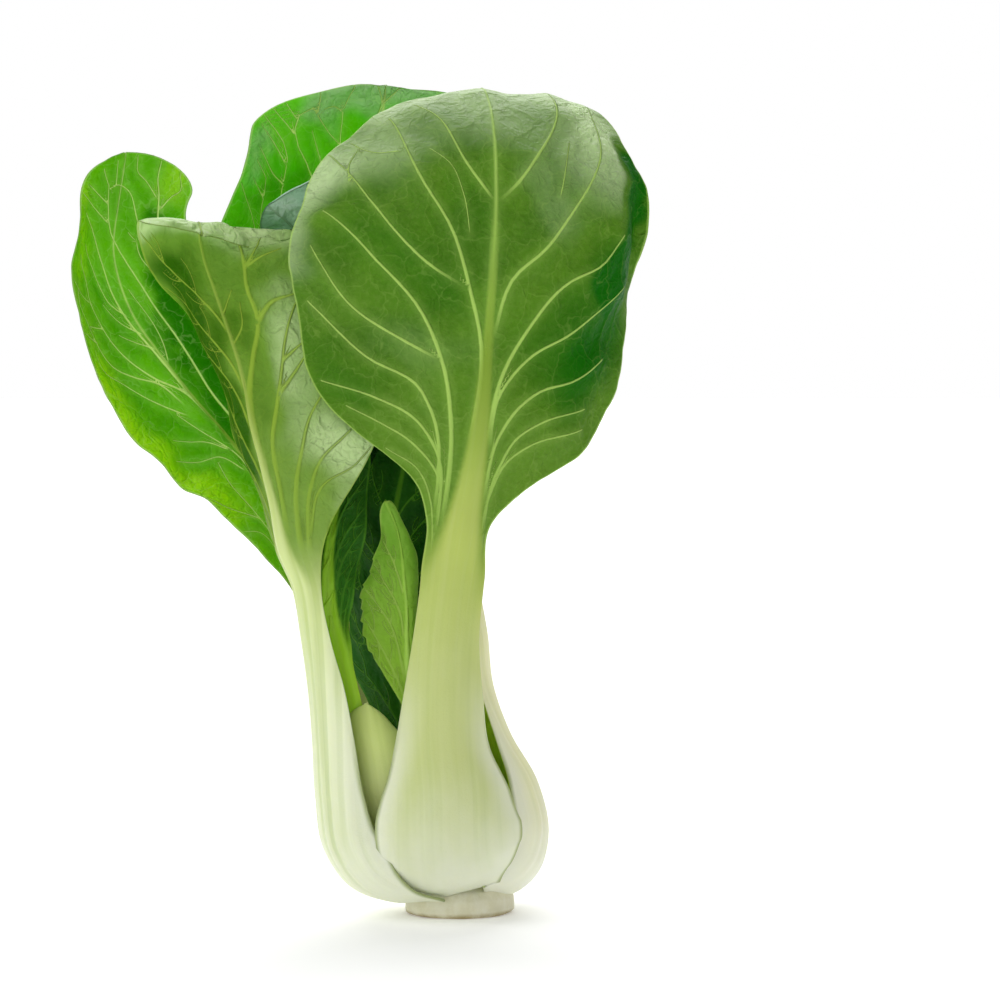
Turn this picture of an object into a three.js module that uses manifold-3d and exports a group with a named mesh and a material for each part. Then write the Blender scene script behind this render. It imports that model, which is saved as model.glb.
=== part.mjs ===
// One head of bok choy, standing on its cut base: a short stem with leaves round it, each leaf a
// thick spoon-shaped stalk that runs on as the midrib of a thin blade.
// Units are millimetres, +Z is up, and the origin is the centre of the flat cut under the stem.
import * as THREE from "three";
import Module from "manifold-3d";
import { mergeVertices } from "three/addons/utils/BufferGeometryUtils.js";

const wasm = await Module();
wasm.setup();

// Driving dimensions
const STEM_RADIUS = 13.6; // of the cut stem at its foot
const STEM_HEIGHT = 18; // from the cut to the growing point inside the head
const STEM_SIDES = 28;
const BLADE_THICKNESS = 0.65;
const MARGIN_THICKNESS = 1.3; // the stalk's thin side edges
const TIP_RIB_THICKNESS = 1.2; // the midrib where it runs out at the tip
const RIB_PROUD = 0.5; // share of the midrib's depth that stands out of the blade's outer side
const FOOT_TAPER = 15; // length over which a stalk thickens up from its foot
const GAP = 0.3; // between neighbouring pieces

// Faceting
const FRAME_STEPS = 240; // samples of each leaf's centre line
const FOOT_BUNCHING = 1.2; // above 1 puts the sections closer together at the foot
const CAP_TURN = 1.52; // just short of a quarter turn, so the last section keeps a little width
const MIN_HALF_WIDTH = 0.5;
const NARROWEST_RIB = 1;
const WELD = 1e-4; // points nearer than this are the same point
// Sections below the rounded tip and round it, then columns from the centre line to the edge of
// the rib and from there to the margin.
const OUTER_GRID = { body: 24, cap: 4, rib: 3, blade: 3 };
const INNER_GRID = { body: 14, cap: 3, rib: 2, blade: 2 };

const STEM_COLOUR = 0xc6c3a8;
const OUTER_COLOUR = 0x5d9424;
const INNER_COLOUR = 0x8cb848;

// Each leaf's centre line runs up the outer side of its stalk and midrib. A row is
// x, y, z, left across, left in, right across, right in, twist:
// left and right are as seen from outside the head, and each margin lies that far across to the
// side of the centre line and that far in towards the heart; twist turns the row about the line.
// facing is the bearing of the leaf's outer side at its foot, in degrees from +X towards +Y.
// neck is the row where the stalk ends and the blade begins, thick is the stalk's depth in the
// bulb and at the neck, and cap is the length of the rounded tip.
const LEAVES = [
  {
    name: "left_leaf",
    facing: 200,
    neck: 8,
    thick: [6.6, 3.8],
    cap: 3,
    rows: [
      [-8, -3, 4, 8, 1, 13, 1.5, 0],
      [-18, -7, 4, 12, 6, 16, 6, 0],
      [-27, -10, 8, 15, 11, 16.5, 11, 0],
      [-33, -11, 17, 17, 13, 14.5, 12, 0],
      [-35, -11.5, 30, 15, 10, 13, 10, 0],
      [-35.8, -12, 44, 11.5, 7, 11.5, 8.5, 0],
      [-36.8, -12.5, 57, 9, 5, 10, 7, 2],
      [-38.2, -13, 69, 7.5, 4, 7.8, 5, 6],
      [-40, -13.5, 82, 7, 3.5, 7.5, 4, 12],
      [-43, -13.5, 93, 9, 5, 12, 6, 22],
      [-46, -13, 104, 11, 8, 21, 11, 32],
      [-49, -12, 118, 13, 12, 32, 11, 42],
      [-52.5, -10, 133, 14, 15, 38, 10, 48],
      [-57, -7.5, 147, 14, 14, 35, 4, 54],
      [-60.5, -6, 157, 14, 9, 31, 0, 58],
      [-62.8, -6, 163.5, 14.5, 5, 29, -1, 62],
      [-63.8, -6.5, 168.3, 14.8, 3, 28, -1, 66],
      [-64, -8.6, 171.8, 14.5, 2, 27, 0, 73],
      [-63, -13.2, 169.4, 12, 1, 26, 2, 60],
    ],
  },
  {
    name: "right_leaf",
    facing: 352,
    neck: 8,
    thick: [9, 5.2],
    cap: 18,
    rows: [
      [7, -2, 4, 13, 1.5, 8, 1, 0],
      [14, -2, 5, 13.5, 6, 12, 6, 0],
      [20, -1, 10, 14, 8, 15, 11, 0],
      [22.7, 1, 19, 15.5, 8.5, 17, 13, 0],
      [20.2, 3, 32, 14.7, 7.3, 14, 9, 0],
      [12.9, 5, 45, 11.3, 3.9, 11, 7, 0],
      [8.7, 6, 57, 8.6, 3.4, 9, 5, 0],
      [7.4, 7, 69, 7.5, 3.5, 7.5, 4, 0],
      [5.4, 9, 81, 7, 3.5, 7, 3.5, 0],
      [4.8, 12, 93, 7.5, 4, 7.5, 4, 0],
      [8.5, 15, 104, 11, 7, 12, 7, 6],
      [15, 17, 117, 17, 13, 15, 7, 12],
      [23, 18, 132, 20, 14, 19, 7, 16],
      [29, 17, 149, 20, 14, 20, 6, 18],
      [32, 17, 166, 19, 12, 20, 6, 18],
      [32, 15.5, 181, 15, 8, 17, 6, 18],
      [29, 13.5, 191, 11, 5, 12, 4, 18],
    ],
  },
  {
    name: "back_leaf",
    facing: 97,
    neck: 8,
    thick: [7, 4],
    cap: 11,
    rows: [
      [0, 8, 4, 12, 1, 12, 1, 0],
      [0, 17, 5, 15, 6, 15, 6, 0],
      [-1, 24, 11, 17, 11, 17, 11, 0],
      [-2, 26.5, 22, 16.5, 11, 16.5, 11, 0],
      [-3.5, 26.5, 34, 14, 9, 14, 9, 0],
      [-5.5, 25.5, 48, 11, 6, 11, 6, 0],
      [-8, 25, 64, 8.5, 4.5, 8.5, 4.5, 0],
      [-9.5, 26, 82, 7.5, 3.5, 7.5, 3.5, 0],
      [-11, 28, 97, 9, 4, 9, 4, 0],
      [-13, 31, 112, 17, 5, 19, 5, 0],
      [-15, 34, 130, 28, 6, 31, 8, 0],
      [-18, 36, 150, 34, 7, 47, 10, 0],
      [-20, 37, 170, 36, 6, 47, 10, 0],
      [-20.5, 36, 187, 36, 4, 40.5, 8, 0],
      [-20, 34, 200.6, 36, 2, 36, 5, 0],
      [-19, 31, 208.6, 34, 1, 32, 3, 0],
    ],
  },
  {
    name: "front_leaf",
    facing: 268,
    neck: 8,
    thick: [8, 4.6],
    cap: 24,
    rows: [
      [2, -13, 7, 8.5, 0, 9, 0, 0],
      [0, -20, 9.5, 13.6, 2.3, 14, 2.3, 0],
      [-1, -26.5, 14.8, 17.3, 5.6, 17.4, 5.6, 0],
      [-1.5, -29.5, 23.5, 18, 7.8, 18.1, 7.8, 0],
      [-1.7, -29.5, 33, 16.3, 7.5, 15.4, 7.5, 0],
      [-2.6, -28, 44, 12.6, 6, 11.2, 6, 0],
      [-3, -26.5, 57, 9.8, 4.5, 9.8, 4.5, 0],
      [-2.4, -25.5, 70, 8.2, 3.5, 8.2, 3.5, 0],
      [-0.6, -25.5, 86, 8, 2.5, 7.6, 2.5, 0],
      [1.5, -26.5, 99, 9.5, 2, 6.9, 2, 0],
      [3.3, -27.8, 108, 15.5, 3, 13.3, 4, 0],
      [4.8, -29, 117, 30.2, 6, 26, 9, 0],
      [6.3, -30.5, 129, 41.3, 10, 32, 17, 0],
      [7.7, -31.5, 145, 46, 13, 36.5, 22, 0],
      [8.9, -31.5, 162, 49, 14, 44.5, 22, 0],
      [9.6, -29, 178, 46.8, 13, 46, 20, 0],
      [9.2, -23, 191, 43.6, 10, 43, 15, 0],
      [8, -13, 201.5, 33, 7, 36, 10, 0],
      [6, -1, 206, 23.5, 4, 29, 6, 0],
      [4, 9, 204.5, 17, 2, 20, 4, 0],
    ],
  },
  {
    name: "left_back_leaf",
    facing: 140,
    neck: 7,
    thick: [6, 3.4],
    cap: 8,
    rows: [
      [-6, 6, 5, 9, 2, 9, 2, 0],
      [-15, 12, 6, 13, 7, 13, 7, 0],
      [-22, 16, 13, 15, 10, 15, 10, 0],
      [-25, 18, 24, 14, 9, 14, 9, 0],
      [-27, 19, 38, 12, 7, 11, 7, 0],
      [-29, 20, 52, 9, 5, 9, 5, 0],
      [-32, 21, 64, 7.5, 3.5, 7.5, 3.5, 0],
      [-35.5, 22, 75, 7.5, 2.5, 8, 2.5, -6],
      [-40, 24, 87, 11, 1, 10.5, 3, -16],
      [-46, 26, 99, 17, 0, 14, 4, -22],
      [-53, 28, 110, 24, 0, 18, 5, -26],
      [-61, 29, 120, 29, 0, 20.5, 6, -28],
      [-69, 30, 129, 32, 1, 22, 7, -28],
      [-77.5, 30, 140, 33, 2, 21, 8, -28],
      [-85, 29.5, 152, 31, 3, 18, 8, -28],
      [-88.5, 28, 165, 23, 6, 14, 7, -28],
      [-87.5, 26, 177, 16.5, 8, 12, 5, -28],
      [-85, 24, 191, 18.5, 8, 10.5, 3, -28],
    ],
  },
  {
    name: "right_back_leaf",
    facing: 48,
    neck: 8,
    thick: [8.5, 5],
    cap: 16,
    rows: [
      [6, 7, 5, 9, 2, 9, 2, 0],
      [12, 14, 7, 13, 7, 13, 7, 0],
      [15, 19, 15, 15, 10, 15, 10, 0],
      [14.5, 21.5, 25, 14, 9, 14, 9, 0],
      [9.5, 22, 37, 10.5, 7, 10.5, 7, 0],
      [4.3, 22.5, 50, 8, 5, 6, 5, 0],
      [1.6, 23, 65, 7.2, 4, 5, 4, 0],
      [2, 25, 80, 5.5, 3, 4.5, 3, 0],
      [4.2, 28, 95, 6.3, 3, 5.5, 3, 0],
      [9, 33, 110, 14, 5, 12, 5, 0],
      [16, 39, 127, 20, 8, 19, 7, 0],
      [22, 44, 145, 22, 10, 26, 8, 0],
      [26, 48, 163, 21, 9, 25, 8, 0],
      [28, 50, 178, 17, 7, 20, 6, 0],
      [27, 52, 189, 13, 4, 15, 4, 0],
    ],
  },
  {
    name: "right_inner_leaf",
    facing: 300,
    neck: 5,
    thick: [8, 3.6],
    cap: 10,
    inner: true,
    rows: [
      [4, -4, 12, 5, 1, 5, 1, 0],
      [8, -9, 15, 6, 2.5, 6, 2.5, 0],
      [7.6, -12.5, 26, 6, 2.5, 6, 2.5, 0],
      [5, -13, 38, 5.5, 2, 5, 2, 0],
      [2.4, -12.5, 50, 5, 2, 4.5, 2, 0],
      [1.5, -11.5, 63, 4.5, 1, 4.5, 1, 0],
      [0, -11, 76, 4.5, 1, 4.5, 1, 0],
      [0.5, -10, 90, 5, 1.5, 5, 1.5, 0],
      [3.5, -9, 104, 8, 2, 5, 2, 0],
      [8, -8, 118, 12, 3, 9, 3, 0],
      [10, -9, 133, 14, 4, 14, 4, 0],
      [11, -10, 147, 10, 2, 10, 2, 0],
    ],
  },
  {
    name: "left_inner_leaf",
    facing: 205,
    neck: 5,
    thick: [3, 2],
    cap: 10,
    inner: true,
    rows: [
      [-6, 0, 11, 4, 1, 4, 1, 0],
      [-14, -1, 14, 5, 2, 5, 2, 0],
      [-21, -7, 24, 3.5, 1.5, 3.5, 1.5, 0],
      [-24, -11, 38, 3, 1, 3, 1, 10],
      [-26.5, -13, 52, 3, 1, 3, 1, 20],
      [-29, -13, 64, 3, 1, 3, 1, 35],
      [-31.5, -12, 76, 3.5, 1, 5, 1, 45],
      [-32, -11.5, 88, 4, 1, 8, 1, 50],
      [-30.5, -9, 100, 5, 1, 8, 1, 50],
      [-28, -6, 112, 5, 1, 6, 1, 50],
      [-26, -3, 122, 4, 1, 4, 1, 50],
    ],
  },
  {
    name: "pale_inner_leaf",
    facing: 255,
    neck: 5,
    thick: [5, 3],
    cap: 4,
    inner: true,
    rows: [
      [-4, -4, 11.5, 5, 1, 5, 1, 0],
      [-10, -11, 13.5, 7, 2.5, 7, 2.5, 0],
      [-15.5, -16, 20, 9, 4, 8, 4, 0],
      [-18.5, -18, 30, 9.5, 5, 8, 4.5, 0],
      [-20, -18.3, 40, 10, 5.5, 8.5, 4.5, 0],
      [-21.5, -17.5, 48, 9, 5, 5, 4, 0],
      [-22.5, -15.5, 54, 7, 3, 2.2, 3, 0],
    ],
  },
  {
    name: "folded_leaf",
    facing: 248,
    neck: 3,
    thick: [3.6, 2],
    cap: 2,
    inner: true,
    rows: [
      [-1, -6, 12.5, 3.5, 1, 3.5, 1, 0],
      [-3, -14, 17, 4, 1.5, 4, 1.5, 0],
      [-6, -18.5, 29, 4, 1.5, 4, 1.5, 0],
      [-9, -19.5, 43, 3.2, 1, 3, 1.5, 0],
      [-11.3, -19.5, 55, 3.5, 0.5, 2, 2.5, 0],
      [-12, -19.5, 62, 7.5, 0.5, 2, 3, 0],
      [-12.4, -19.5, 69, 11.5, 1, 2, 3, 0],
      [-12.6, -19.5, 77, 13.6, 1.5, 2, 3, 0],
      [-12.9, -19, 85, 11.8, 1.5, 2, 3, 0],
      [-13.8, -18.5, 92.5, 8.2, 1, 2, 2.5, 0],
      [-15.4, -17.5, 99, 4.6, 0.5, 1.2, 1.5, 0],
      [-17.5, -16.5, 104, 1.2, 0, 0.6, 0.5, 0],
    ],
  },
  {
    name: "dark_inner_leaf",
    facing: 245,
    neck: 2,
    thick: [4.2, 2.2],
    cap: 12,
    inner: true,
    rows: [
      [-1, -1, 13, 3.5, 1, 3.5, 1, 0],
      [-6, -3, 19, 4.5, 1.5, 4.5, 1.5, 0],
      [-8.5, -4, 32, 8, 1.5, 5, 1.5, 0],
      [-10.5, -4, 46, 12, 2, 6, 1, 0],
      [-13, -4, 60, 16.5, 3, 8, 1.5, 0],
      [-15.5, -3.5, 73, 17.5, 4, 10, 3, 0],
      [-16, -3, 87, 16, 4, 12, 4, 0],
      [-15.5, -2, 101, 16, 4, 13, 4, 0],
      [-13, -1, 115, 14, 4, 12, 3, 0],
      [-11, 0, 129, 8, 2, 8, 2, 0],
    ],
  },
  {
    name: "curled_leaf",
    facing: 225,
    neck: 5,
    thick: [4.5, 2.6],
    cap: 3,
    inner: true,
    rows: [
      [-2, 3, 12, 4, 1, 4, 1, 0],
      [-7, 4, 19, 5.5, 2, 5.5, 2, 0],
      [-10, 4.5, 32, 6, 2, 6, 2, 0],
      [-12, 5, 48, 5.5, 1.5, 5.5, 1.5, 0],
      [-15, 7.5, 65, 5, 1.5, 5, 1.5, 0],
      [-19, 9.5, 83, 5.5, 1.5, 5.5, 1.5, 0],
      [-25, 11, 100, 9, 3, 11, 3, 10],
      [-30, 11, 118, 9, 5, 17, 5, 15],
      [-33, 8.5, 136, 9.5, 6, 20, 6, 20],
      [-34.5, 5, 153, 11, 5, 19, 5, 20],
      [-36, 3, 164, 15, 4, 19, 3, 20],
      [-41, 0, 171.5, 11.5, 2, 19, 1, 20],
      [-47, -3, 177, 3, 0, 19, 0, 20],
    ],
  },
];

const toRadians = THREE.MathUtils.degToRad;

// A curve through values at knots, with a slope at each knot from its two neighbours.
function through(knots, values) {
  const last = knots.length - 1;
  const rise = (i) => (values[i + 1] - values[i]) / (knots[i + 1] - knots[i]);
  const slopes = values.map((_, i) => {
    if (i === 0) return rise(0);
    if (i === last) return rise(last - 1);
    const before = knots[i] - knots[i - 1];
    const after = knots[i + 1] - knots[i];
    return (rise(i - 1) * after + rise(i) * before) / (before + after);
  });
  return (at) => {
    let i = 0;
    while (i < last - 1 && at > knots[i + 1]) i += 1;
    const span = knots[i + 1] - knots[i];
    const t = (at - knots[i]) / span;
    const s = 1 - t;
    return (
      s * s * (1 + 2 * t) * values[i] +
      t * s * s * span * slopes[i] +
      t * t * (3 - 2 * t) * values[i + 1] -
      t * t * s * span * slopes[i + 1]
    );
  };
}

// The centre line: where it is, which way it runs and which way is out, at any distance along it.
function centreLine(leaf) {
  const points = leaf.rows.map(([x, y, z]) => new THREE.Vector3(x, y, z));
  const knots = [0];
  for (let i = 1; i < points.length; i += 1) {
    knots.push(knots[i - 1] + points[i].distanceTo(points[i - 1]));
  }
  const length = knots[knots.length - 1];
  const column = (k) => through(knots, leaf.rows.map((row) => row[k]));
  const [x, y, z, leftAcross, leftIn, rightAcross, rightIn, twist] = leaf.rows[0].map((_, k) => column(k));
  const place = (at) => new THREE.Vector3(x(at), y(at), z(at));

  // The outward normal is carried along with no spin of its own, from one square to a slope.
  const bearing = toRadians(leaf.facing);
  const carried = new THREE.Vector3(Math.cos(bearing), Math.sin(bearing), -0.5);
  const tangents = [];
  const normals = [];
  const halfStep = length / FRAME_STEPS / 2;
  for (let k = 0; k <= FRAME_STEPS; k += 1) {
    const at = (length * k) / FRAME_STEPS;
    const ahead = place(Math.min(at + halfStep, length));
    const behind = place(Math.max(at - halfStep, 0));
    const tangent = ahead.sub(behind).normalize();
    carried.addScaledVector(tangent, -carried.dot(tangent)).normalize();
    tangents.push(tangent);
    normals.push(carried.clone());
  }
  const between = (vectors, at) => {
    const step = Math.min(FRAME_STEPS - 1, Math.floor((at / length) * FRAME_STEPS));
    const mix = (at / length) * FRAME_STEPS - step;
    return vectors[step].clone().lerp(vectors[step + 1], mix).normalize();
  };
  const frame = (at) => {
    const tangent = between(tangents, at);
    const normal = between(normals, at).applyAxisAngle(tangent, toRadians(twist(at))).normalize();
    const right = new THREE.Vector3().crossVectors(tangent, normal);
    return { normal, right };
  };
  const sides = [
    { sign: -1, across: leftAcross, inwards: leftIn },
    { sign: 1, across: rightAcross, inwards: rightIn },
  ];
  return { place, frame, sides, length, neckAt: knots[leaf.neck] };
}

// The section from the centre line to a margin is a circular arc. At a share u of its length,
// where it has got to across and inwards, and how far it has turned.
function arcAt(across, inwards, u) {
  const curl = 2 * Math.atan2(inwards, across) || 1e-6;
  const radius = Math.hypot(across, inwards) / (2 * Math.sin(curl / 2));
  const bend = curl * u;
  return { across: radius * Math.sin(bend), inwards: radius * (1 - Math.cos(bend)), bend };
}

// The share of the way to the margin for each column: close together over the rib.
function columnShare(j, rib, grid) {
  const ribShare = Math.min(rib, grid.rib / (grid.rib + grid.blade));
  if (j <= grid.rib) return (ribShare * j) / grid.rib;
  return ribShare + ((1 - ribShare) * (j - grid.rib)) / grid.blade;
}

// The distances up a leaf at which it has a section.
function sectionsOf(leaf, grid, length) {
  const capAt = length - leaf.cap;
  const distances = [];
  for (let i = 0; i < grid.body; i += 1) {
    distances.push(capAt * (i / grid.body) ** FOOT_BUNCHING);
  }
  for (let i = 0; i <= grid.cap; i += 1) {
    distances.push(capAt + leaf.cap * Math.sin((CAP_TURN * i) / grid.cap));
  }
  return distances;
}

// A leaf's outer and inner surface as rows of points. grow moves both surfaces and the margins out.
function surfaces(leaf, grow = 0) {
  const grid = leaf.inner ? INNER_GRID : OUTER_GRID;
  const { place, frame, sides, length, neckAt } = centreLine(leaf);
  const [bulb, neck] = leaf.thick;
  const neckWidth = leaf.rows[leaf.neck][3];
  const outer = [];
  const inner = [];
  for (const at of sectionsOf(leaf, grid, length)) {
    const { normal, right } = frame(at);
    const centre = place(at);
    const capped = Math.sqrt(1 - Math.max(0, (at - length + leaf.cap) / leaf.cap) ** 2);
    const stalk = Math.min(1, at / neckAt);
    const blade = Math.max(0, (at - neckAt) / (length - neckAt));
    const foot = Math.min(1, 0.5 + (0.5 * at) / FOOT_TAPER);
    const fading = (1 - blade) ** 2;
    const stalkDepth = foot * (bulb + (neck - bulb) * stalk ** 2);
    const ribDepth = TIP_RIB_THICKNESS + (neck - TIP_RIB_THICKNESS) * fading;
    const middle = blade > 0 ? ribDepth : stalkDepth;
    const edge = MARGIN_THICKNESS + (BLADE_THICKNESS - MARGIN_THICKNESS) * stalk;
    const proud = RIB_PROUD * Math.min(1, blade * 6);
    const outerRow = [];
    const innerRow = [];
    for (const side of sides) {
      const across = Math.max(MIN_HALF_WIDTH, side.across(at) * capped);
      const inwards = side.inwards(at) * capped;
      const rib = blade > 0 ? Math.min(1, (NARROWEST_RIB + neckWidth * fading) / across) : 1;
      const cells = [];
      for (let j = 0; j <= grid.rib + grid.blade; j += 1) {
        const u = columnShare(j, rib, grid);
        const arc = arcAt(across, inwards, u);
        const swell = (1 - Math.min(1, u / rib) ** 2) ** 1.5;
        const depth = (middle - edge) * swell;
        const out = normal
          .clone()
          .multiplyScalar(Math.cos(arc.bend))
          .addScaledVector(right, side.sign * Math.sin(arc.bend));
        const sideways = right
          .clone()
          .multiplyScalar(side.sign * Math.cos(arc.bend))
          .addScaledVector(normal, -Math.sin(arc.bend));
        const point = centre
          .clone()
          .addScaledVector(right, side.sign * arc.across)
          .addScaledVector(normal, -arc.inwards)
          .addScaledVector(sideways, u * grow);
        const above = point.clone().addScaledVector(out, proud * depth + grow);
        const below = point.clone().addScaledVector(out, (proud - 1) * depth - edge - grow);
        cells.push([above, below]);
      }
      if (side.sign < 0) cells.reverse();
      else cells.shift();
      for (const [above, below] of cells) {
        outerRow.push(above);
        innerRow.push(below);
      }
    }
    outer.push(outerRow);
    inner.push(innerRow);
  }
  return { outer, inner };
}

function manifoldOf(positions, indices) {
  const mesh = new wasm.Mesh({ numProp: 3, vertProperties: positions, triVerts: indices });
  return new wasm.Manifold(mesh);
}

// A closed solid between two grids of points.
function closedSolid({ outer, inner }) {
  const rows = outer.length;
  const wide = outer[0].length;
  const points = [...outer.flat(), ...inner.flat()];
  const triangles = [];
  const o = (i, j) => i * wide + j;
  const n = (i, j) => rows * wide + i * wide + j;
  const quad = (a, b, c, d) => triangles.push(a, b, c, a, c, d);
  for (let i = 0; i < rows - 1; i += 1) {
    for (let j = 0; j < wide - 1; j += 1) {
      quad(o(i, j), o(i, j + 1), o(i + 1, j + 1), o(i + 1, j));
      quad(n(i, j), n(i + 1, j), n(i + 1, j + 1), n(i, j + 1));
    }
    quad(o(i, 0), o(i + 1, 0), n(i + 1, 0), n(i, 0));
    quad(o(i, wide - 1), n(i, wide - 1), n(i + 1, wide - 1), o(i + 1, wide - 1));
  }
  for (let j = 0; j < wide - 1; j += 1) {
    quad(o(0, j), n(0, j), n(0, j + 1), o(0, j + 1));
    quad(o(rows - 1, j), o(rows - 1, j + 1), n(rows - 1, j + 1), n(rows - 1, j));
  }
  return manifoldOf(new Float32Array(points.flatMap((p) => p.toArray())), new Uint32Array(triangles));
}

function solidOf(geometry) {
  const bare = geometry.clone();
  bare.deleteAttribute("normal");
  bare.deleteAttribute("uv");
  const merged = mergeVertices(bare, WELD);
  return manifoldOf(merged.attributes.position.array, new Uint32Array(merged.index.array));
}

function geometryOf(solid) {
  const mesh = solid.getMesh();
  const positions = new Float32Array(mesh.numVert * 3);
  for (let i = 0; i < mesh.numVert; i += 1) {
    const first = i * mesh.numProp;
    positions.set(mesh.vertProperties.subarray(first, first + 3), i * 3);
  }
  const geometry = new THREE.BufferGeometry();
  geometry.setAttribute("position", new THREE.BufferAttribute(positions, 3));
  geometry.setIndex(new THREE.BufferAttribute(new Uint32Array(mesh.triVerts), 1));
  geometry.computeVertexNormals();
  return geometry;
}

// The stem, from its cut foot to the growing point. grow is the clearance round it.
function stem(grow = 0) {
  const profile = [
    [0, 0],
    [STEM_RADIUS - 0.7, 0],
    [STEM_RADIUS, 1],
    [STEM_RADIUS - 0.3, 5],
    [STEM_RADIUS * 0.8, 8],
    [STEM_RADIUS * 0.5, STEM_HEIGHT * 0.7],
    [STEM_RADIUS * 0.25, STEM_HEIGHT * 0.95],
    [0, STEM_HEIGHT],
  ];
  const grown = profile.map(([r, z]) => new THREE.Vector2(r > 0 ? r + grow : 0, z > 0 ? z + grow : -grow));
  return new THREE.LatheGeometry(grown, STEM_SIDES).rotateX(Math.PI / 2);
}

function pieceOf(name, geometry, color, roughness) {
  const material = new THREE.MeshStandardMaterial({ color, roughness, metalness: 0 });
  const piece = new THREE.Mesh(geometry, material);
  piece.name = name;
  return piece;
}

const largest = (solid) => solid.decompose().sort((a, b) => b.volume() - a.volume())[0];

const head = new THREE.Group();
head.add(pieceOf("cut_stem", stem(), STEM_COLOUR, 0.7));

// Where two leaves meet, the one listed later is cut back to leave the gap.
let taken = solidOf(stem(GAP));
for (const leaf of LEAVES) {
  const solid = largest(closedSolid(surfaces(leaf)).subtract(taken));
  head.add(pieceOf(leaf.name, geometryOf(solid), leaf.inner ? INNER_COLOUR : OUTER_COLOUR, 0.5));
  taken = taken.add(closedSolid(surfaces(leaf, GAP))).add(solid);
}

export default head;
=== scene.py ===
"""A head of bok choy standing on its cut stem, in a plain pale studio."""
import math
from dataclasses import dataclass

import bpy
import numpy as np
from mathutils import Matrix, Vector


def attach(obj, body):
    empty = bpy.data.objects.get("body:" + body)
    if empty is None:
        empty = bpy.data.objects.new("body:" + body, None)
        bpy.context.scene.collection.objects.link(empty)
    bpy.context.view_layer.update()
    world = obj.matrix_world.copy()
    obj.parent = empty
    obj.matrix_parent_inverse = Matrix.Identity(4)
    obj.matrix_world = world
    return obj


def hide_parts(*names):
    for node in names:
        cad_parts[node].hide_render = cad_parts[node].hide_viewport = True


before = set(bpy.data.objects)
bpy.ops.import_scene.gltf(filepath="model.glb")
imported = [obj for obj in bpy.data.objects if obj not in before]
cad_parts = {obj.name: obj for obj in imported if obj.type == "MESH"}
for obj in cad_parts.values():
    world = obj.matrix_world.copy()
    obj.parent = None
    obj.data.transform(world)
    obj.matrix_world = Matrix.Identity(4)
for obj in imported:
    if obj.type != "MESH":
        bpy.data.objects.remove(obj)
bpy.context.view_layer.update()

MM = 0.001

# ---- camera

CAMERA_AT = Vector((0.0105, -1.0, 0.150))
AIM = Vector((0.0105, 0, 0.1035))


def add_object(name, data):
    made = bpy.data.objects.new(name, data)
    bpy.context.scene.collection.objects.link(made)
    return made


camera = add_object("camera", bpy.data.cameras.new("camera"))
camera.location = CAMERA_AT
camera.rotation_mode = "QUATERNION"
camera.rotation_quaternion = (AIM - CAMERA_AT).to_track_quat("-Z", "Y")
camera.data.sensor_width = 36
camera.data.lens = 144.2
camera.data.clip_start = 0.05
camera.data.clip_end = 60
bpy.context.scene.camera = camera

# ---- what describes a leaf


@dataclass
class Leaf:
    """A leaf, in millimetres and degrees.

    Its centre line runs up the outer side of its stalk and midrib. A row is x, y, z, left across,
    left in, right across, right in and, where the row is turned about the line, twist: each margin
    lies that far across to its side, as seen from outside the head, and that far in towards the
    heart. The points of veins and patches are (across, along) on the leaf laid flat.
    """

    name: str
    facing: float  # bearing of the outer side at the foot, from +X towards +Y
    neck: int  # the row where the stalk ends and the blade begins
    cap: float  # length of the rounded tip
    thick: tuple  # the stalk's depth in the bulb and at the neck
    grid: tuple  # mesh rows in the stalk, blade and tip, and columns from the middle to a margin
    tones: dict
    rows: list
    inner: bool = False
    laterals: tuple = (0, 0, 0)  # veins to a side, and the rise of the lowest and of the highest
    sides: tuple = (-1, 1)  # the halves that have them: -1 left, 1 right
    veins: tuple = ()  # other veins: size, then points
    waves: tuple = ()  # of a margin: side, height, pitch, phase
    teeth: tuple = ()  # of a margin: side, height, pitch, first and last distance up the leaf
    rolls: tuple = ()  # of a half: side, start, full and stop up the leaf, bend, share across from, to
    patches: tuple = ()  # of painted light: amount from -1, painted shade, to 1, painted highlight, width, then points
    rib: float = 0.6  # half width of the midrib low in the blade
    rib_fade: float = 24  # length over which the stalk narrows to the midrib
    proud: float = 0.5  # share of the midrib's depth that stands out of the outer side
    grooves: float = 0.03  # depth of the stalk's furrows
    crinkle: float = 0.5  # the rest are strengths
    leather: float = 0.5
    fibres: float = 0.2
    translucent: float = 0.35


# ---- curves and sections


def through(knots, values, at):
    """A smooth curve through values at knots, with each slope taken from the two neighbours."""
    knots = np.asarray(knots, float)
    values = np.asarray(values, float)
    rise = np.diff(values) / np.diff(knots)
    before = np.diff(knots)[:-1]
    after = np.diff(knots)[1:]
    between = (rise[:-1] * after + rise[1:] * before) / (before + after)
    slopes = np.concatenate([rise[:1], between, rise[-1:]])
    i = np.clip(np.searchsorted(knots, at, side="right") - 1, 0, len(knots) - 2)
    span = knots[i + 1] - knots[i]
    t = (at - knots[i]) / span
    s = 1 - t
    return (
        s * s * (1 + 2 * t) * values[i]
        + t * s * s * span * slopes[i]
        + t * t * (3 - 2 * t) * values[i + 1]
        - t * t * s * span * slopes[i + 1]
    )


def smooth(low, high, x):
    t = np.clip((x - low) / (high - low), 0, 1)
    return t * t * (3 - 2 * t)


def unit(v):
    return v / np.maximum(np.linalg.norm(v, axis=-1, keepdims=True), 1e-12)


def distances(points):
    """How far along a line of points each one is."""
    return np.concatenate([[0], np.cumsum(np.linalg.norm(np.diff(points, axis=0), axis=1))])


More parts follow.
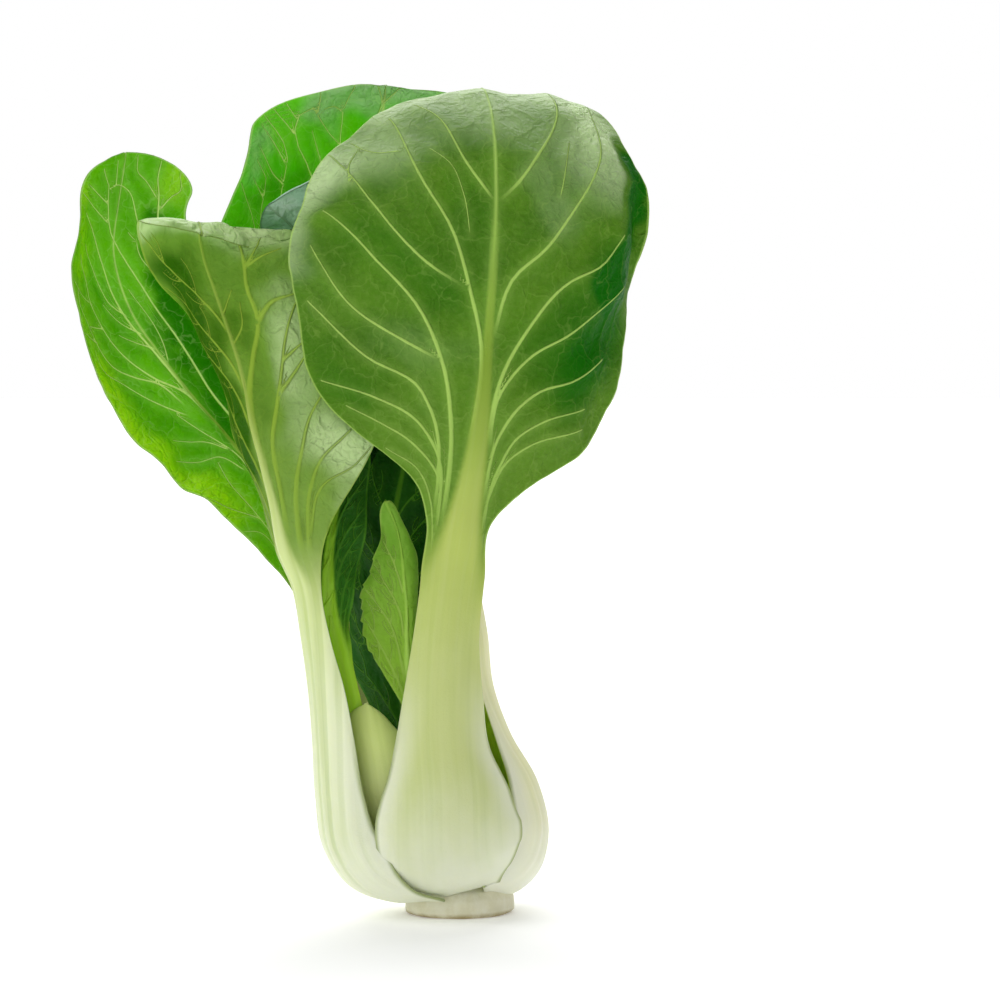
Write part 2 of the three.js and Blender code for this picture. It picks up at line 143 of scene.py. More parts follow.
class Spine:
    """A leaf's centre line, with an outward normal and a right-hand side at every distance."""

    STEPS = 600

    def __init__(self, leaf):
        self.rows = np.array([(*row, 0)[:8] for row in leaf.rows], float)
        self.knots = distances(self.rows[:, :3])
        self.length = self.knots[-1]
        self.at = np.linspace(0, self.length, self.STEPS + 1)
        step = self.length / self.STEPS / 2
        ahead = self.place(np.minimum(self.at + step, self.length))
        behind = self.place(np.maximum(self.at - step, 0))
        self.tangents = unit(ahead - behind)
        self.normals = np.empty_like(self.tangents)
        bearing = math.radians(leaf.facing)
        normal = np.array([math.cos(bearing), math.sin(bearing), -0.5])
        for k, tangent in enumerate(self.tangents):
            normal = unit(normal - tangent * (normal @ tangent))
            self.normals[k] = normal

    def column(self, k, at):
        return through(self.knots, self.rows[:, k], at)

    def place(self, at):
        return np.stack([self.column(k, at) for k in range(3)], axis=-1)

    def between(self, vectors, at):
        return unit(np.stack([np.interp(at, self.at, vectors[:, k]) for k in range(3)], -1))

    def frame(self, at):
        tangent = self.between(self.tangents, at)
        flat = self.between(self.normals, at)
        turn = np.radians(self.column(7, at))[:, None]
        normal = unit(flat * np.cos(turn) + np.cross(tangent, flat) * np.sin(turn))
        return normal, np.cross(tangent, normal)


# ---- veins

FORKS_AT = (0.4, 0.58, 0.74, 0.88)  # shares of the way along a lateral
FORK_REACH = 0.25  # share of the lateral's length
FORK_RADIUS = 0.35  # share of the lateral's
VEIN_REACH = 9.0  # how far from a vein its field is worked out
FAR = 30.0  # the distance where there is no vein as near as that


def bezier(p0, p1, p2, p3, count=14):
    t = np.linspace(0, 1, count)[:, None]
    s = 1 - t
    p0, p1, p2, p3 = (np.asarray(p, float) for p in (p0, p1, p2, p3))
    return s**3 * p0 + 3 * s * s * t * p1 + 3 * s * t * t * p2 + t**3 * p3


def curve_through(points, count=26):
    """A smooth line through a few points."""
    points = np.asarray(points, float)
    knots = distances(points)
    at = np.linspace(0, knots[-1], count)
    if len(points) == 2:
        return points[0] + (points[1] - points[0]) * (at / knots[-1])[:, None]
    return np.stack([through(knots, points[:, k], at) for k in (0, 1)], -1)


def forks(line, radius, random, outward):
    """Smaller veins that leave a lateral vein on alternate sides and bend back along it."""
    made = []
    length = np.linalg.norm(np.diff(line, axis=0), axis=1).sum()
    for k, share in enumerate(FORKS_AT):
        i = int(share * (len(line) - 1))
        direction = unit(line[min(i + 1, len(line) - 1)] - line[i - 1])
        sign = outward * (1 if k % 2 else -1)
        angle = sign * math.radians(36 + 16 * random.random())
        size = length * FORK_REACH * (0.7 + 0.6 * random.random()) * (1 - 0.3 * share)
        cos, sin = math.cos(angle), math.sin(angle)
        x, y = direction
        turned = np.array([x * cos - y * sin, x * sin + y * cos])
        start = line[i]
        end = start + size * unit(0.75 * turned + 0.45 * direction)
        fork = bezier(start, start + 0.35 * size * turned, end - 0.3 * size * direction, end, 9)
        made.append((fork, radius, 0.1))
    return made


def laterals(leaf, sheet, random):
    """Lateral veins that run up along the midrib before they leave it, with their forks."""
    made = []
    blade = sheet.length - sheet.neck
    count, low_rise, high_rise = leaf.laterals
    for side in leaf.sides:
        for k in range(count):
            share = (k + (0.35 if side > 0 else 0.0) + 0.2 * random.random()) / count
            start = sheet.neck + blade * (-0.04 + 0.82 * share)
            rise = low_rise + (high_rise - low_rise) * share
            end = min(start + rise, sheet.length - 1.5)
            reach = side * 0.93 * sheet.width_at(side, end)
            thick = 0.62 - 0.3 * share
            line = bezier(
                (side * (2.5 * (1 - share) + 0.2), start - 16 * (1 - share)),
                (side * 1.2, start + 0.25 * rise),
                (reach * 0.5, start + 0.5 * rise),
                (reach, end),
            )
            made.append((line, thick, 0.14))
            made += forks(line, thick * FORK_RADIUS, random, side)
    return made


def distance_to(x, y, line):
    """How far each point is from a line of straight steps."""
    nearest = np.full_like(x, 1e3)
    for a, b in zip(line[:-1], line[1:]):
        d = b - a
        t = np.clip(((x - a[0]) * d[0] + (y - a[1]) * d[1]) / max(d @ d, 1e-9), 0, 1)
        nearest = np.minimum(nearest, np.hypot(x - a[0] - t * d[0], y - a[1] - t * d[1]))
    return nearest


def vein_field(across, along, lines):
    """Each point's distance, signed offset, radius and strength for its nearest vein, and the
    swelling from every vein. A line comes with its radius at its start and at its end."""
    best, near, aside = (np.full_like(across, FAR) for _ in range(3))
    thick = np.full_like(across, 0.1)
    strength = np.zeros_like(across)
    swell = np.zeros_like(across)
    for line, first, last in lines:
        low = line.min(axis=0) - VEIN_REACH
        high = line.max(axis=0) + VEIN_REACH
        inside = np.nonzero((across > low[0]) & (across < high[0]) & (along > low[1]) & (along < high[1]))
        x = across[inside]
        y = along[inside]
        found = [field[inside] for field in (best, near, aside, thick, strength)]
        rise = swell[inside]
        lengths = np.linalg.norm(np.diff(line, axis=0), axis=1)
        starts = np.concatenate([[0], np.cumsum(lengths)])
        fade = min(12, 0.004 * starts[-1] ** 2)
        for k in range(len(line) - 1):
            a = line[k]
            d = line[k + 1] - a
            size = max(math.hypot(*d), 1e-6)
            t = np.clip(((x - a[0]) * d[0] + (y - a[1]) * d[1]) / size**2, 0, 1)
            distance = np.hypot(x - a[0] - t * d[0], y - a[1] - t * d[1])
            radius = first + (last - first) * (k + t) / (len(line) - 1)
            offset = (d[0] * (y - a[1]) - d[1] * (x - a[0])) / size
            grown = smooth(0, fade, starts[k] + t * lengths[k])
            closer = distance - radius < found[0]
            for values, new in zip(found, (distance - radius, distance, offset, radius, grown)):
                values[closer] = new[closer]
            bump = np.exp(-((distance / np.maximum(1.3 * radius, 0.85)) ** 2))
            rise = np.maximum(rise, grown * radius * bump)
        for field, values in zip((best, near, aside, thick, strength), found):
            field[inside] = values
        swell[inside] = rise
    return near, aside, thick, strength, swell


# ---- leaves

MARGIN_THICKNESS = 1.2
BLADE_THICKNESS = 0.5
TIP_RIB_THICKNESS = 0.9
UNEVEN = 0.5  # height of the blade's broad unevenness
UNEVEN_PITCH = 24
PUFF = 0.7  # how far the blade swells between its veins
PUFF_REACH = 3.6  # how far from a vein most of that is reached
BUMPS = 0.08
BUMP_PITCH = 5.5
GROOVE_WAVES = 5
VEIN_LIFT = 0.7  # how far a vein stands out of the outer side, as a share of its radius
VEIN_SINK = 0.15  # and how far into the inner side
MARGIN_TAPER = 2.0  # width over which a margin thins
MARGIN_THINNING = 0.55
TIP_TURN = 1.545  # just short of a quarter turn, so the last row keeps a little width
LEAST_WIDTH = 0.4


def half_section(across, inwards, shares, rolls, at):
    """A half row's points across and inwards of its centre line: an arc, bent further by the rolls."""
    curl = 2 * np.arctan2(inwards, across)
    curl = np.where(np.abs(curl) < 1e-5, 1e-5, curl)
    width = curl * np.hypot(across, inwards) / (2 * np.sin(curl / 2))
    middle = (shares[1:] + shares[:-1]) / 2
    extra = np.zeros((len(at), len(middle)))
    for start, full, stop, degrees, first, last in rolls:
        lift = smooth(start, full, at) * smooth(stop, full, at)
        extra += math.radians(degrees) * lift[:, None] * smooth(first, last, middle)[None, :]
    bend = curl[:, None] * middle + extra
    step = width[:, None] * np.diff(shares)
    start = np.zeros((len(across), 1))
    x = np.concatenate([start, np.cumsum(np.cos(bend) * step, axis=1)], axis=1)
    y = np.concatenate([start, np.cumsum(np.sin(bend) * step, axis=1)], axis=1)
    return x, y, width


def ripple(x, y, pitch, random, count=9):
    """A gentle random unevenness, from -1 to 1, of about this pitch."""
    total = np.zeros_like(x)
    for _ in range(count):
        angle = 2 * np.pi * random.random()
        size = 2 * np.pi / (pitch * (0.7 + 0.8 * random.random()))
        total += np.sin(size * (x * math.cos(angle) + y * math.sin(angle)) + 2 * np.pi * random.random())
    return total / math.sqrt(count)


def normals_of(points):
    return unit(np.cross(np.gradient(points, axis=1), np.gradient(points, axis=0)))


class Sheet:
    """A leaf's middle surface, in rows of points.

    x is how far across each point lies and y how far along; edge is its distance from the margin
    and share its share of the way there. bladed is 0 in the stalk and 1 in the blade.
    """

    def __init__(self, leaf):
        spine = Spine(leaf)
        self.length = spine.length
        self.neck = spine.knots[leaf.neck]
        self.neck_width = spine.column(3, np.full(1, self.neck))[0]
        self.at = self.rows_at(leaf)
        cap_at = self.length - leaf.cap
        self.capped = np.sqrt(1 - np.clip((self.at - cap_at) / leaf.cap, 0, 1) ** 2)
        self.up_blade = np.clip((self.at - self.neck) / (self.length - self.neck), 0, 1)[:, None]
        left, left_x = self.half(leaf, spine, -1)
        right, right_x = self.half(leaf, spine, 1)
        self.points = np.concatenate([left[:, ::-1], right[:, 1:]], axis=1)
        self.x = np.concatenate([left_x[:, ::-1], right_x[:, 1:]], axis=1)
        self.y = np.repeat(self.at[:, None], self.x.shape[1], axis=1)
        widths = np.where(self.x < 0, -self.x[:, :1], self.x[:, -1:])
        self.share = np.abs(self.x) / widths
        self.edge = widths - np.abs(self.x)
        self.bladed = smooth(self.neck - 5, self.neck + 15, self.y)

    def rows_at(self, leaf):
        """Distances up the leaf, closer together in the blade than in the stalk, and closest at the tip."""
        stalk_rows, blade_rows, cap_rows, _ = leaf.grid
        blade_at = self.neck - 4
        cap_at = self.length - leaf.cap
        stalk = blade_at * np.arange(stalk_rows) / stalk_rows
        blade = blade_at + (cap_at - blade_at) * np.arange(blade_rows) / blade_rows
        cap = cap_at + leaf.cap * np.sin(TIP_TURN * np.arange(cap_rows + 1) / cap_rows)
        return np.concatenate([stalk, blade, cap])

    def half(self, leaf, spine, side):
        """One half's points from the centre line to the margin, and how far across each lies."""
        column = 3 if side < 0 else 5
        across = np.maximum(LEAST_WIDTH, spine.column(column, self.at) * self.capped)
        inwards = spine.column(column + 1, self.at) * self.capped
        shares = np.linspace(0, 1, leaf.grid[3] + 1)
        rolls = [roll[1:] for roll in leaf.rolls if roll[0] == side]
        x, y, width = half_section(across, inwards, shares, rolls, self.at)
        normal, right = spine.frame(self.at)
        centre = spine.place(self.at)
        points = centre[:, None] + side * x[..., None] * right[:, None] - y[..., None] * normal[:, None]
        return points, side * shares[None, :] * width[:, None]

    def half_mask(self, side):
        return (self.x < 0) if side < 0 else (self.x > 0)

    def width_at(self, side, where):
        return np.interp(where, self.at, np.abs(self.x[:, 0 if side < 0 else -1]))

    def wave(self, leaf, random):
        """The blade's unevenness and the waves that grow towards its margins."""
        wave = UNEVEN * ripple(self.x, self.y, UNEVEN_PITCH, random) * self.bladed
        for side, height, pitch, phase in leaf.waves:
            drift = 0.35 * pitch * ripple(self.x * 0, self.y, 3 * pitch, random, 3)
            turns = np.sin(2 * np.pi * (self.y + drift) / pitch + phase)
            wave += self.half_mask(side) * height * self.share**3 * turns * self.bladed * self.capped[:, None]
        self.points = self.points + normals_of(self.points) * wave[..., None]

    def cut_teeth(self, leaf):
        """Small teeth that point up the leaf along a margin."""
        for side, height, pitch, start, stop in leaf.teeth:
            sideways = unit(np.gradient(self.points, axis=1)) * side
            tooth = height * (1 - (self.y / pitch) % 1.0)
            tooth = tooth * smooth(start, start + 6, self.y) * smooth(stop, stop - 6, self.y)
            reach = self.half_mask(side) * tooth * smooth(3.0, 0.0, self.edge)
            self.points = self.points + sideways * reach[..., None]


def furrows(sheet, random):
    """Random waves across the leaf that run along it, for the stalk's furrows."""
    total = np.zeros_like(sheet.x)
    for _ in range(GROOVE_WAVES):
        pitch = 2.2 + 2.6 * random.random()
        across = sheet.x + 0.03 * sheet.y * (random.random() - 0.5)
        total += np.sin(2 * np.pi * across / pitch + 6.28 * random.random())
    return total


def rib_depth(leaf, sheet, rib_share):
    """The extra thickness of the stalk and midrib, and the thickness without it."""
    bulb, neck_thick = leaf.thick
    stalk = np.clip(sheet.y / sheet.neck, 0, 1)
    foot = np.minimum(1, 0.5 + sheet.y / 30)
    middle = np.where(
        sheet.y < sheet.neck,
        foot * (bulb + (neck_thick - bulb) * stalk**2),
        TIP_RIB_THICKNESS + (neck_thick - TIP_RIB_THICKNESS) * (1 - sheet.up_blade) ** 3,
    )
    thin = MARGIN_THICKNESS + (BLADE_THICKNESS - MARGIN_THICKNESS) * stalk
    return (middle - thin) * (1 - rib_share**2) ** 1.5, thin


def painted_light_of(leaf, sheet, random):
    """The patches' painted light, from -1 for painted shade to 1 for painted highlight."""
    tint = np.zeros_like(sheet.x)
    for amount, wide, *points in leaf.patches:
        away = distance_to(sheet.x, sheet.y, curve_through(points, 12))
        away = away + 0.15 * wide * ripple(sheet.x, sheet.y, 1.2 * wide, random)
        tint += amount * smooth(1.2 * wide, 0.0, away)
    return np.clip(tint, -1, 1)


def closed_faces(rows, columns):
    """The faces of two grids of points, outer then inner, and of the rims between them."""
    index = np.arange(rows * columns).reshape(rows, columns)
    a, b, c, d = index[:-1, :-1], index[:-1, 1:], index[1:, 1:], index[1:, :-1]
    front = np.stack([a, b, c, d], -1).reshape(-1, 4)
    back = np.stack([a, d, c, b], -1).reshape(-1, 4) + rows * columns
    rims = []
    for line, flip in ((index[:, 0], False), (index[:, -1], True), (index[0], True), (index[-1], False)):
        p, q = line[:-1], line[1:]
        ring = [p, q, q + rows * columns, p + rows * columns]
        rims.append(np.stack(ring[::-1] if flip else ring, -1))
    return np.concatenate([front, back, *rims])


def leaf_mesh(name, outer, inner):
    rows, columns = outer.shape[:2]
    vertices = np.concatenate([outer.reshape(-1, 3), inner.reshape(-1, 3)]) * MM
    faces = closed_faces(rows, columns)
    mesh = bpy.data.meshes.new(name)
    mesh.vertices.add(len(vertices))
    mesh.vertices.foreach_set("co", vertices.ravel())
    mesh.loops.add(faces.size)
    mesh.loops.foreach_set("vertex_index", faces.ravel().astype(np.int32))
    mesh.polygons.add(len(faces))
    mesh.polygons.foreach_set("loop_start", np.arange(0, faces.size, 4, dtype=np.int32))
    mesh.update(calc_edges=True)
    mesh.validate()
    return mesh, faces.ravel()


def add_layouts(mesh, loops, sheet):
    """Two flat layouts: the leaf in tenths of a metre, and its two sides next to each other."""
    x, y = sheet.x, sheet.y
    flat = np.stack([x, y], -1).reshape(-1, 2) / 100
    flat = np.concatenate([flat, flat + [3.0, 0.0]])
    mesh.uv_layers.new(name="leaf").data.foreach_set("uv", flat[loops].ravel())
    across = (x - x.min()) / (x.max() - x.min())
    side = np.stack([0.01 + 0.48 * across, 0.01 + 0.98 * y / sheet.length], -1).reshape(-1, 2)
    both = np.concatenate([side, side + [0.5, 0.0]])[loops]
    rim_start = 2 * (x.shape[0] - 1) * (x.shape[1] - 1) * 4
    both[rim_start:] = side[loops[rim_start:] % x.size]
    mesh.uv_layers.new(name="OFBake").data.foreach_set("uv", both.ravel())


def build_leaf(leaf, seed):
    random = np.random.default_rng(seed)
    sheet = Sheet(leaf)
    sheet.wave(leaf, random)
    sheet.cut_teeth(leaf)
    out = normals_of(sheet.points)
    x, y, neck = sheet.x, sheet.y, sheet.neck

    # Veins, each with its radius at its start and end.
    lines = laterals(leaf, sheet, random)
    lines += [(curve_through(points), 0.75 * size, 0.1 + 0.12 * size) for size, *points in leaf.veins]
    near, aside, thick, strength, swell = vein_field(x, y, lines)
    in_blade = sheet.bladed * smooth(0.3, 1.5, sheet.edge)

    # The midrib, which widens into the stalk.
    rib = leaf.rib * (1 - 0.6 * sheet.up_blade)
    rib = rib + sheet.neck_width * 0.75 * np.exp(-np.clip(y - neck, 0, None) / leaf.rib_fade)
    off_rib = np.abs(x) / rib
    past_neck = smooth(neck - 10, neck + 14, y)
    rib_mask = 1 - past_neck + past_neck * smooth(1.3, 0.6, off_rib)
    beside_rib = np.where(y < neck, 0, np.clip(np.abs(x) - rib, 0, None))
    clear = np.minimum(np.clip(near - thick, 0, None), beside_rib)

    # How far the two sides lie out of the middle surface.
    rib_share = np.clip(sheet.share * (1 - past_neck) + off_rib / 1.35 * past_neck, 0, 1)
    depth, thin = rib_depth(leaf, sheet, rib_share)
    proud = leaf.proud * smooth(0, 16, y - neck)
    puff = PUFF * (1 - np.exp(-((clear / PUFF_REACH) ** 2))) * sheet.bladed * smooth(0, 6, sheet.edge)
    puff += BUMPS * ripple(x, y, BUMP_PITCH, random) * sheet.bladed * smooth(0, 3, clear)
    waves = furrows(sheet, random)
    grooves = waves * (leaf.grooves * smooth(1.15, 0.5, rib_share) * smooth(0, 25, y))
    # painted shade and painted highlight from the leaf's patches
    tint = painted_light_of(leaf, sheet, random)
    at_edge = 1 - MARGIN_THINNING * smooth(MARGIN_TAPER, 0.0, sheet.edge)
    lift = proud * depth + VEIN_LIFT * swell * in_blade + grooves - puff
    drop = -(1 - proud) * depth - thin * at_edge + VEIN_SINK * swell * in_blade - puff

    outer = sheet.points + out * lift[..., None]
    inner = sheet.points + out * drop[..., None]
    mesh, loops = leaf_mesh(leaf.name, outer, inner)

    def attribute(name, on_outer, on_inner=None):
        both = np.stack([on_outer, on_outer if on_inner is None else on_inner])
        layer = mesh.attributes.new(name, "FLOAT", "POINT").data
        layer.foreach_set("value", both.ravel().astype(np.float32))

    attribute("near", near)
    attribute("strength", strength * in_blade)
    attribute("aside", aside)
    attribute("thick", thick)
    attribute("rib", rib_mask)
    attribute("green", (y - neck) / 100)
    attribute("adaxial", np.zeros_like(x), np.ones_like(x))
    attribute("edge", sheet.edge)
    attribute("clear", clear)
    attribute("furrow", waves / 3)
    # the patches' painted shade and painted highlight
    attribute("tint", tint)
    add_layouts(mesh, loops, sheet)
    mesh.shade_smooth()
    mesh.materials.append(leaf_material(leaf))
    return add_object(leaf.name, mesh)


# ---- materials

BLOOM = (176, 204, 150)  # the thin bloom on a blade's outer side
CREVICE_SHADE = (128, 146, 58)  # painted shade along a stalk's margin low in the bulb
ROUGHNESS = 0.4


def colour(red, green, blue):
    """A display colour from 0 to 255 as the linear colour that nodes take."""
    shares = [v / 255 for v in (red, green, blue)]
    linear = [v / 12.92 if v <= 10 / 255 else ((v + 0.055) / 1.055) ** 2.4 for v in shares]
    return (*linear, 1.0)


class Shader:
    """A material's node tree, with short ways to add nodes and join them."""

    def __init__(self, name):
        self.material = bpy.data.materials.new(name)
        self.material.use_nodes = True
        self.tree = self.material.node_tree
        self.tree.nodes.clear()

    def node(self, kind, inputs=None, **settings):
        made = self.tree.nodes.new("ShaderNode" + kind)
        for name, value in settings.items():
            setattr(made, name, value)
        for key, value in (inputs or {}).items():
            if isinstance(value, bpy.types.NodeSocket):
                self.tree.links.new(value, made.inputs[key])
            else:
                made.inputs[key].default_value = value
        return made

    def math(self, operation, a, b=0.5, c=0.0):
        return self.node("Math", {0: a, 1: b, 2: c}, operation=operation).outputs[0]

    def times(self, a, b):
        return self.math("MULTIPLY", a, b)

    def but(self, a):
        """What is left of 1."""
        return self.math("SUBTRACT", 1.0, a)

    def attribute(self, name):
        return self.node("Attribute", attribute_name=name).outputs["Fac"]

    def mix(self, factor, a, b):
        made = self.node("Mix", {0: factor, 6: a, 7: b}, data_type="RGBA", blend_type="MIX")
        return made.outputs[2]

    def span(self, value, low, high, to_low=0.0, to_high=1.0):
        """value's range from low to high, eased, as a range from to_low to to_high."""
        ends = {0: value, 1: low, 2: high, 3: to_low, 4: to_high}
        return self.node("MapRange", ends, interpolation_type="SMOOTHSTEP").outputs[0]

    def vector(self, source, scale):
        return self.node("Mapping", {"Vector": source, "Scale": scale}).outputs[0]

    def noise(self, vector, scale, detail=4.0, roughness=0.55):
        inputs = {"Vector": vector, "Scale": scale, "Detail": detail, "Roughness": roughness}
        return self.node("TexNoise", inputs).outputs

    def cells(self, vector, scale):
        made = self.node("TexVoronoi", {"Vector": vector, "Scale": scale}, feature="DISTANCE_TO_EDGE")
        return made.outputs[0]


class LeafShader(Shader):
    """A leaf's shader, with its colours, its flat layout and its mesh's attributes at hand."""

    def __init__(self, leaf):
        super().__init__(leaf.name)
        self.tones = leaf.tones
        self.flat = self.node("UVMap", uv_map="leaf").outputs[0]
        for name in ("near", "thick", "rib", "green", "adaxial", "edge", "clear", "tint"):
            setattr(self, name, self.attribute(name))
        self.abaxial = self.but(self.adaxial)

    def tone(self, name):
        return colour(*self.tones[name])


def vein_lines(s):
    """Crisp lines across the mesh, from each point's signed offset to its nearest vein."""
    slim = s.but(s.times(s.adaxial, 0.2))
    strength = s.attribute("strength")
    off = s.math("DIVIDE", s.math("ABSOLUTE", s.attribute("aside")), s.times(s.thick, slim))
    close = s.times(s.span(s.near, 1.5, 0.9), strength)
    vein = s.times(s.span(off, 1.35, 0.55), close)
    return vein, s.times(s.span(off, 1.9, 0.0), close)


def vein_cells(s):
    """Two sizes of cell between the smallest veins, with their edges bent by noise."""
    bend = s.noise(s.flat, 12.0, 3.0)[1]
    bent = s.node("VectorMath", {0: bend, 1: (0.5, 0.5, 0.5)}, operation="SUBTRACT").outputs[0]
    bent = s.node("VectorMath", {0: bent, "Scale": 0.09}, operation="SCALE").outputs[0]
    bent = s.node("VectorMath", {0: s.flat, 1: bent}, operation="ADD").outputs[0]
    return s.cells(s.vector(bent, (1.0, 0.75, 1.0)), 11.0), s.cells(bent, 34.0)


def blade_tone(s, vein, wide, fine):
    wide_line = s.span(wide, 0.004, 0.022, 1.0, 0.0)
    fine_line = s.span(fine, 0.0, 0.05, 1.0, 0.0)
    mottle = s.noise(s.flat, 5.0, 6.0, 0.6)[0]
    speck = s.noise(s.flat, 70.0, 4.0, 0.65)[0]
    vein_tone = s.tone("vein")
    blade = s.mix(s.span(mottle, 0.35, 0.65), s.tone("dark"), s.tone("blade"))
    blade = s.mix(s.span(s.green, 0.62, 0.05, 0.0, 0.75), blade, s.tone("low"))
    blade = s.mix(s.span(s.clear, 2.2, 0.0, 0.0, 0.12), blade, vein_tone)
    blade = s.mix(s.span(speck, 0.42, 0.72, 0.0, 0.08), blade, vein_tone)
    blade = s.mix(s.times(s.abaxial, 0.03), blade, colour(*BLOOM))
    # painted shade where the patches go below 0, and painted highlight where they go above it
    blade = s.mix(s.span(s.tint, 0.0, -1.0), blade, s.tone("painted_shade"))
    blade = s.mix(s.span(s.tint, 0.0, 1.0), blade, s.tone("painted_highlight"))
    blade = s.mix(s.times(wide_line, s.tones["net"]), blade, vein_tone)
    blade = s.mix(s.times(fine_line, s.tones["net"] * 0.35), blade, vein_tone)
    low_down = s.span(s.green, 0.1, 0.5, 0.6, 1.0)
    blade = s.mix(s.times(s.times(vein, low_down), s.tones["lines"]), blade, vein_tone)
    # painted highlight: the blade turns paler towards its margin, where its thin edge catches the light
    return s.mix(s.span(s.edge, 0.7, 0.25, 0.0, 0.6), blade, vein_tone)


def stalk_tone(s):
    """Pale at the foot, greener upwards, with soft bands along it; and the fibres along it."""
    bands = s.noise(s.vector(s.flat, (9.0, 0.5, 1.0)), 2.2, 3.0, 0.5)[0]
    fibres = s.noise(s.vector(s.flat, (60.0, 1.2, 1.0)), 1.6, 4.0, 0.6)[0]
    patches = s.noise(s.vector(s.flat, (3.0, 1.6, 1.0)), 2.0, 3.0)[0]
    height = s.math("ADD", s.green, s.times(s.math("SUBTRACT", patches, 0.5), 0.3))
    stalk = s.mix(s.span(height, -0.85, -0.4), s.tone("foot"), s.tone("stalk"))
    stalk = s.mix(s.span(height, -0.4, 0.1), stalk, s.tone("neck"))
    stalk = s.mix(s.span(height, 0.08, 0.6), stalk, s.tone("rib"))
    band = s.times(s.span(bands, 0.42, 0.62), s.span(height, -0.9, -0.55))
    stalk = s.mix(s.times(band, s.tones["band"]), stalk, s.tone("groove"))
    furrow = s.times(s.span(s.attribute("furrow"), -0.05, -0.6), s.span(height, -0.9, -0.5))
    stalk = s.mix(s.times(furrow, s.tones["furrow"]), stalk, s.tone("groove"))
    stalk = s.mix(s.span(fibres, 0.45, 0.7, 0.0, s.tones["fibre"]), stalk, s.tone("foot"))
    pale_side = s.times(s.span(s.edge, s.tones["pale_edge"], 0.3, 0.0, 0.8), s.span(s.green, -0.2, -0.5))
    stalk = s.mix(pale_side, stalk, s.tone("foot"))
    # painted shade in the crevice along the stalk's margin low in the bulb
    crevice_shade = s.times(s.span(s.edge, 1.6, 0.1), s.span(s.green, -0.3, -0.5))
    stalk = s.mix(s.times(crevice_shade, 0.75), stalk, colour(*CREVICE_SHADE))
    if "inside" in s.tones:  # the stalk's inner side has a colour of its own
        stalk = s.mix(s.times(s.adaxial, 0.95), stalk, s.tone("inside"))
    return stalk, fibres


def relief(s, leaf, grain, vein, vein_rise, wide, fine, fibres):
    """Relief that is too fine for the mesh: puffed cells, sunken veins, leather and fibres."""
    leather = s.noise(s.flat, 38.0, 4.0, 0.6)[0]
    way = s.math("SUBTRACT", s.times(s.adaxial, 2.0), 1.0)
    puffs = s.math("ADD", s.span(wide, 0.0, 0.2), s.times(s.span(fine, 0.0, 0.25), 0.4))
    unveined = s.but(s.math("MAXIMUM", s.rib, vein))
    bulge = s.math("SUBTRACT", s.times(s.times(puffs, way), unveined), s.times(s.times(vein_rise, way), 1.1))
    bulge = s.times(bulge, s.span(s.tint, 0.0, 1.0, leaf.crinkle, 1.6))
    height = s.math("ADD", bulge, s.times(s.times(leather, unveined), leaf.leather))
    height = s.math("ADD", height, s.times(grain, 0.22))
    height = s.math("ADD", height, s.times(s.times(fibres, s.rib), leaf.fibres))
    return s.node("Bump", {"Strength": 0.8, "Distance": 0.0005, "Height": height}).outputs[0]


def leaf_material(leaf):
    s = LeafShader(leaf)
    vein, vein_rise = vein_lines(s)
    wide, fine = vein_cells(s)
    blade = blade_tone(s, vein, wide, fine)
    stalk, fibres = stalk_tone(s)
    stalked = s.times(s.rib, s.span(s.green, 0.75, 0.1))
    rib_tone = s.mix(s.span(s.green, 1.1, 0.5), s.tone("vein"), s.tone("rib"))
    tone = s.mix(s.times(s.rib, s.tones["lines"]), blade, rib_tone)
    tone = s.mix(stalked, tone, stalk)

    grain = s.noise(s.flat, 120.0, 5.0, 0.62)[0]
    bump = relief(s, leaf, grain, vein, vein_rise, wide, fine, fibres)
    rough = s.span(grain, 0.3, 0.7, ROUGHNESS - 0.05, ROUGHNESS + 0.1)
    shine = s.math("MAXIMUM", s.span(s.tint, -0.4, 1.0, 0.1, 0.7), s.times(stalked, 0.5))
    skin = s.node(
        "BsdfPrincipled",
        {
            "Base Color": tone,
            "Roughness": rough,
            "IOR": 1.33,
            "Specular IOR Level": shine,
            "Subsurface Weight": s.times(stalked, 0.2),
            "Subsurface Radius": (1.0, 0.9, 0.4),
            "Subsurface Scale": 0.003,
            "Normal": bump,
        },
    ).outputs[0]
    glow = s.mix(0.5, tone, s.tone("glow"))
    glow = s.mix(s.times(s.math("MAXIMUM", s.rib, vein), 0.8), glow, s.tone("vein"))
    through_light = s.node("BsdfTranslucent", {"Color": glow, "Normal": bump}).outputs[0]
    share = s.times(s.but(stalked), leaf.translucent)
    both = s.node("MixShader", {0: share, 1: skin, 2: through_light}).outputs[0]
    s.node("OutputMaterial", {"Surface": both})
    return s.material


def stem_material():
    s = Shader("cut_stem")
    place = s.node("TexCoord").outputs["Object"]
    mottle = s.noise(place, 160.0, 6.0, 0.65)[0]
    streak = s.noise(s.vector(place, (220.0, 220.0, 50.0)), 1.0, 5.0, 0.6)[0]
    tone = s.mix(s.span(mottle, 0.35, 0.65), colour(238, 236, 212), colour(226, 222, 190))
    tone = s.mix(s.span(streak, 0.5, 0.75, 0.0, 0.5), tone, colour(244, 243, 226))
    height = s.node("SeparateXYZ", {0: place}).outputs[2]
    worn = s.times(s.span(height, 0.0016, 0.0002), s.span(mottle, 0.3, 0.6, 0.35, 1.0))
    tone = s.mix(worn, tone, colour(168, 150, 98))
    bump = s.node("Bump", {"Strength": 0.6, "Distance": 0.0008, "Height": mottle}).outputs[0]
    skin = s.node(
        "BsdfPrincipled",
        {
            "Base Color": tone,
            "Roughness": s.span(streak, 0.3, 0.7, 0.5, 0.68),
            "Subsurface Weight": 0.15,
            "Subsurface Radius": (1.0, 0.9, 0.5),
            "Subsurface Scale": 0.003,
            "Normal": bump,
        },
    ).outputs[0]
    s.node("OutputMaterial", {"Surface": skin})
    return s.material
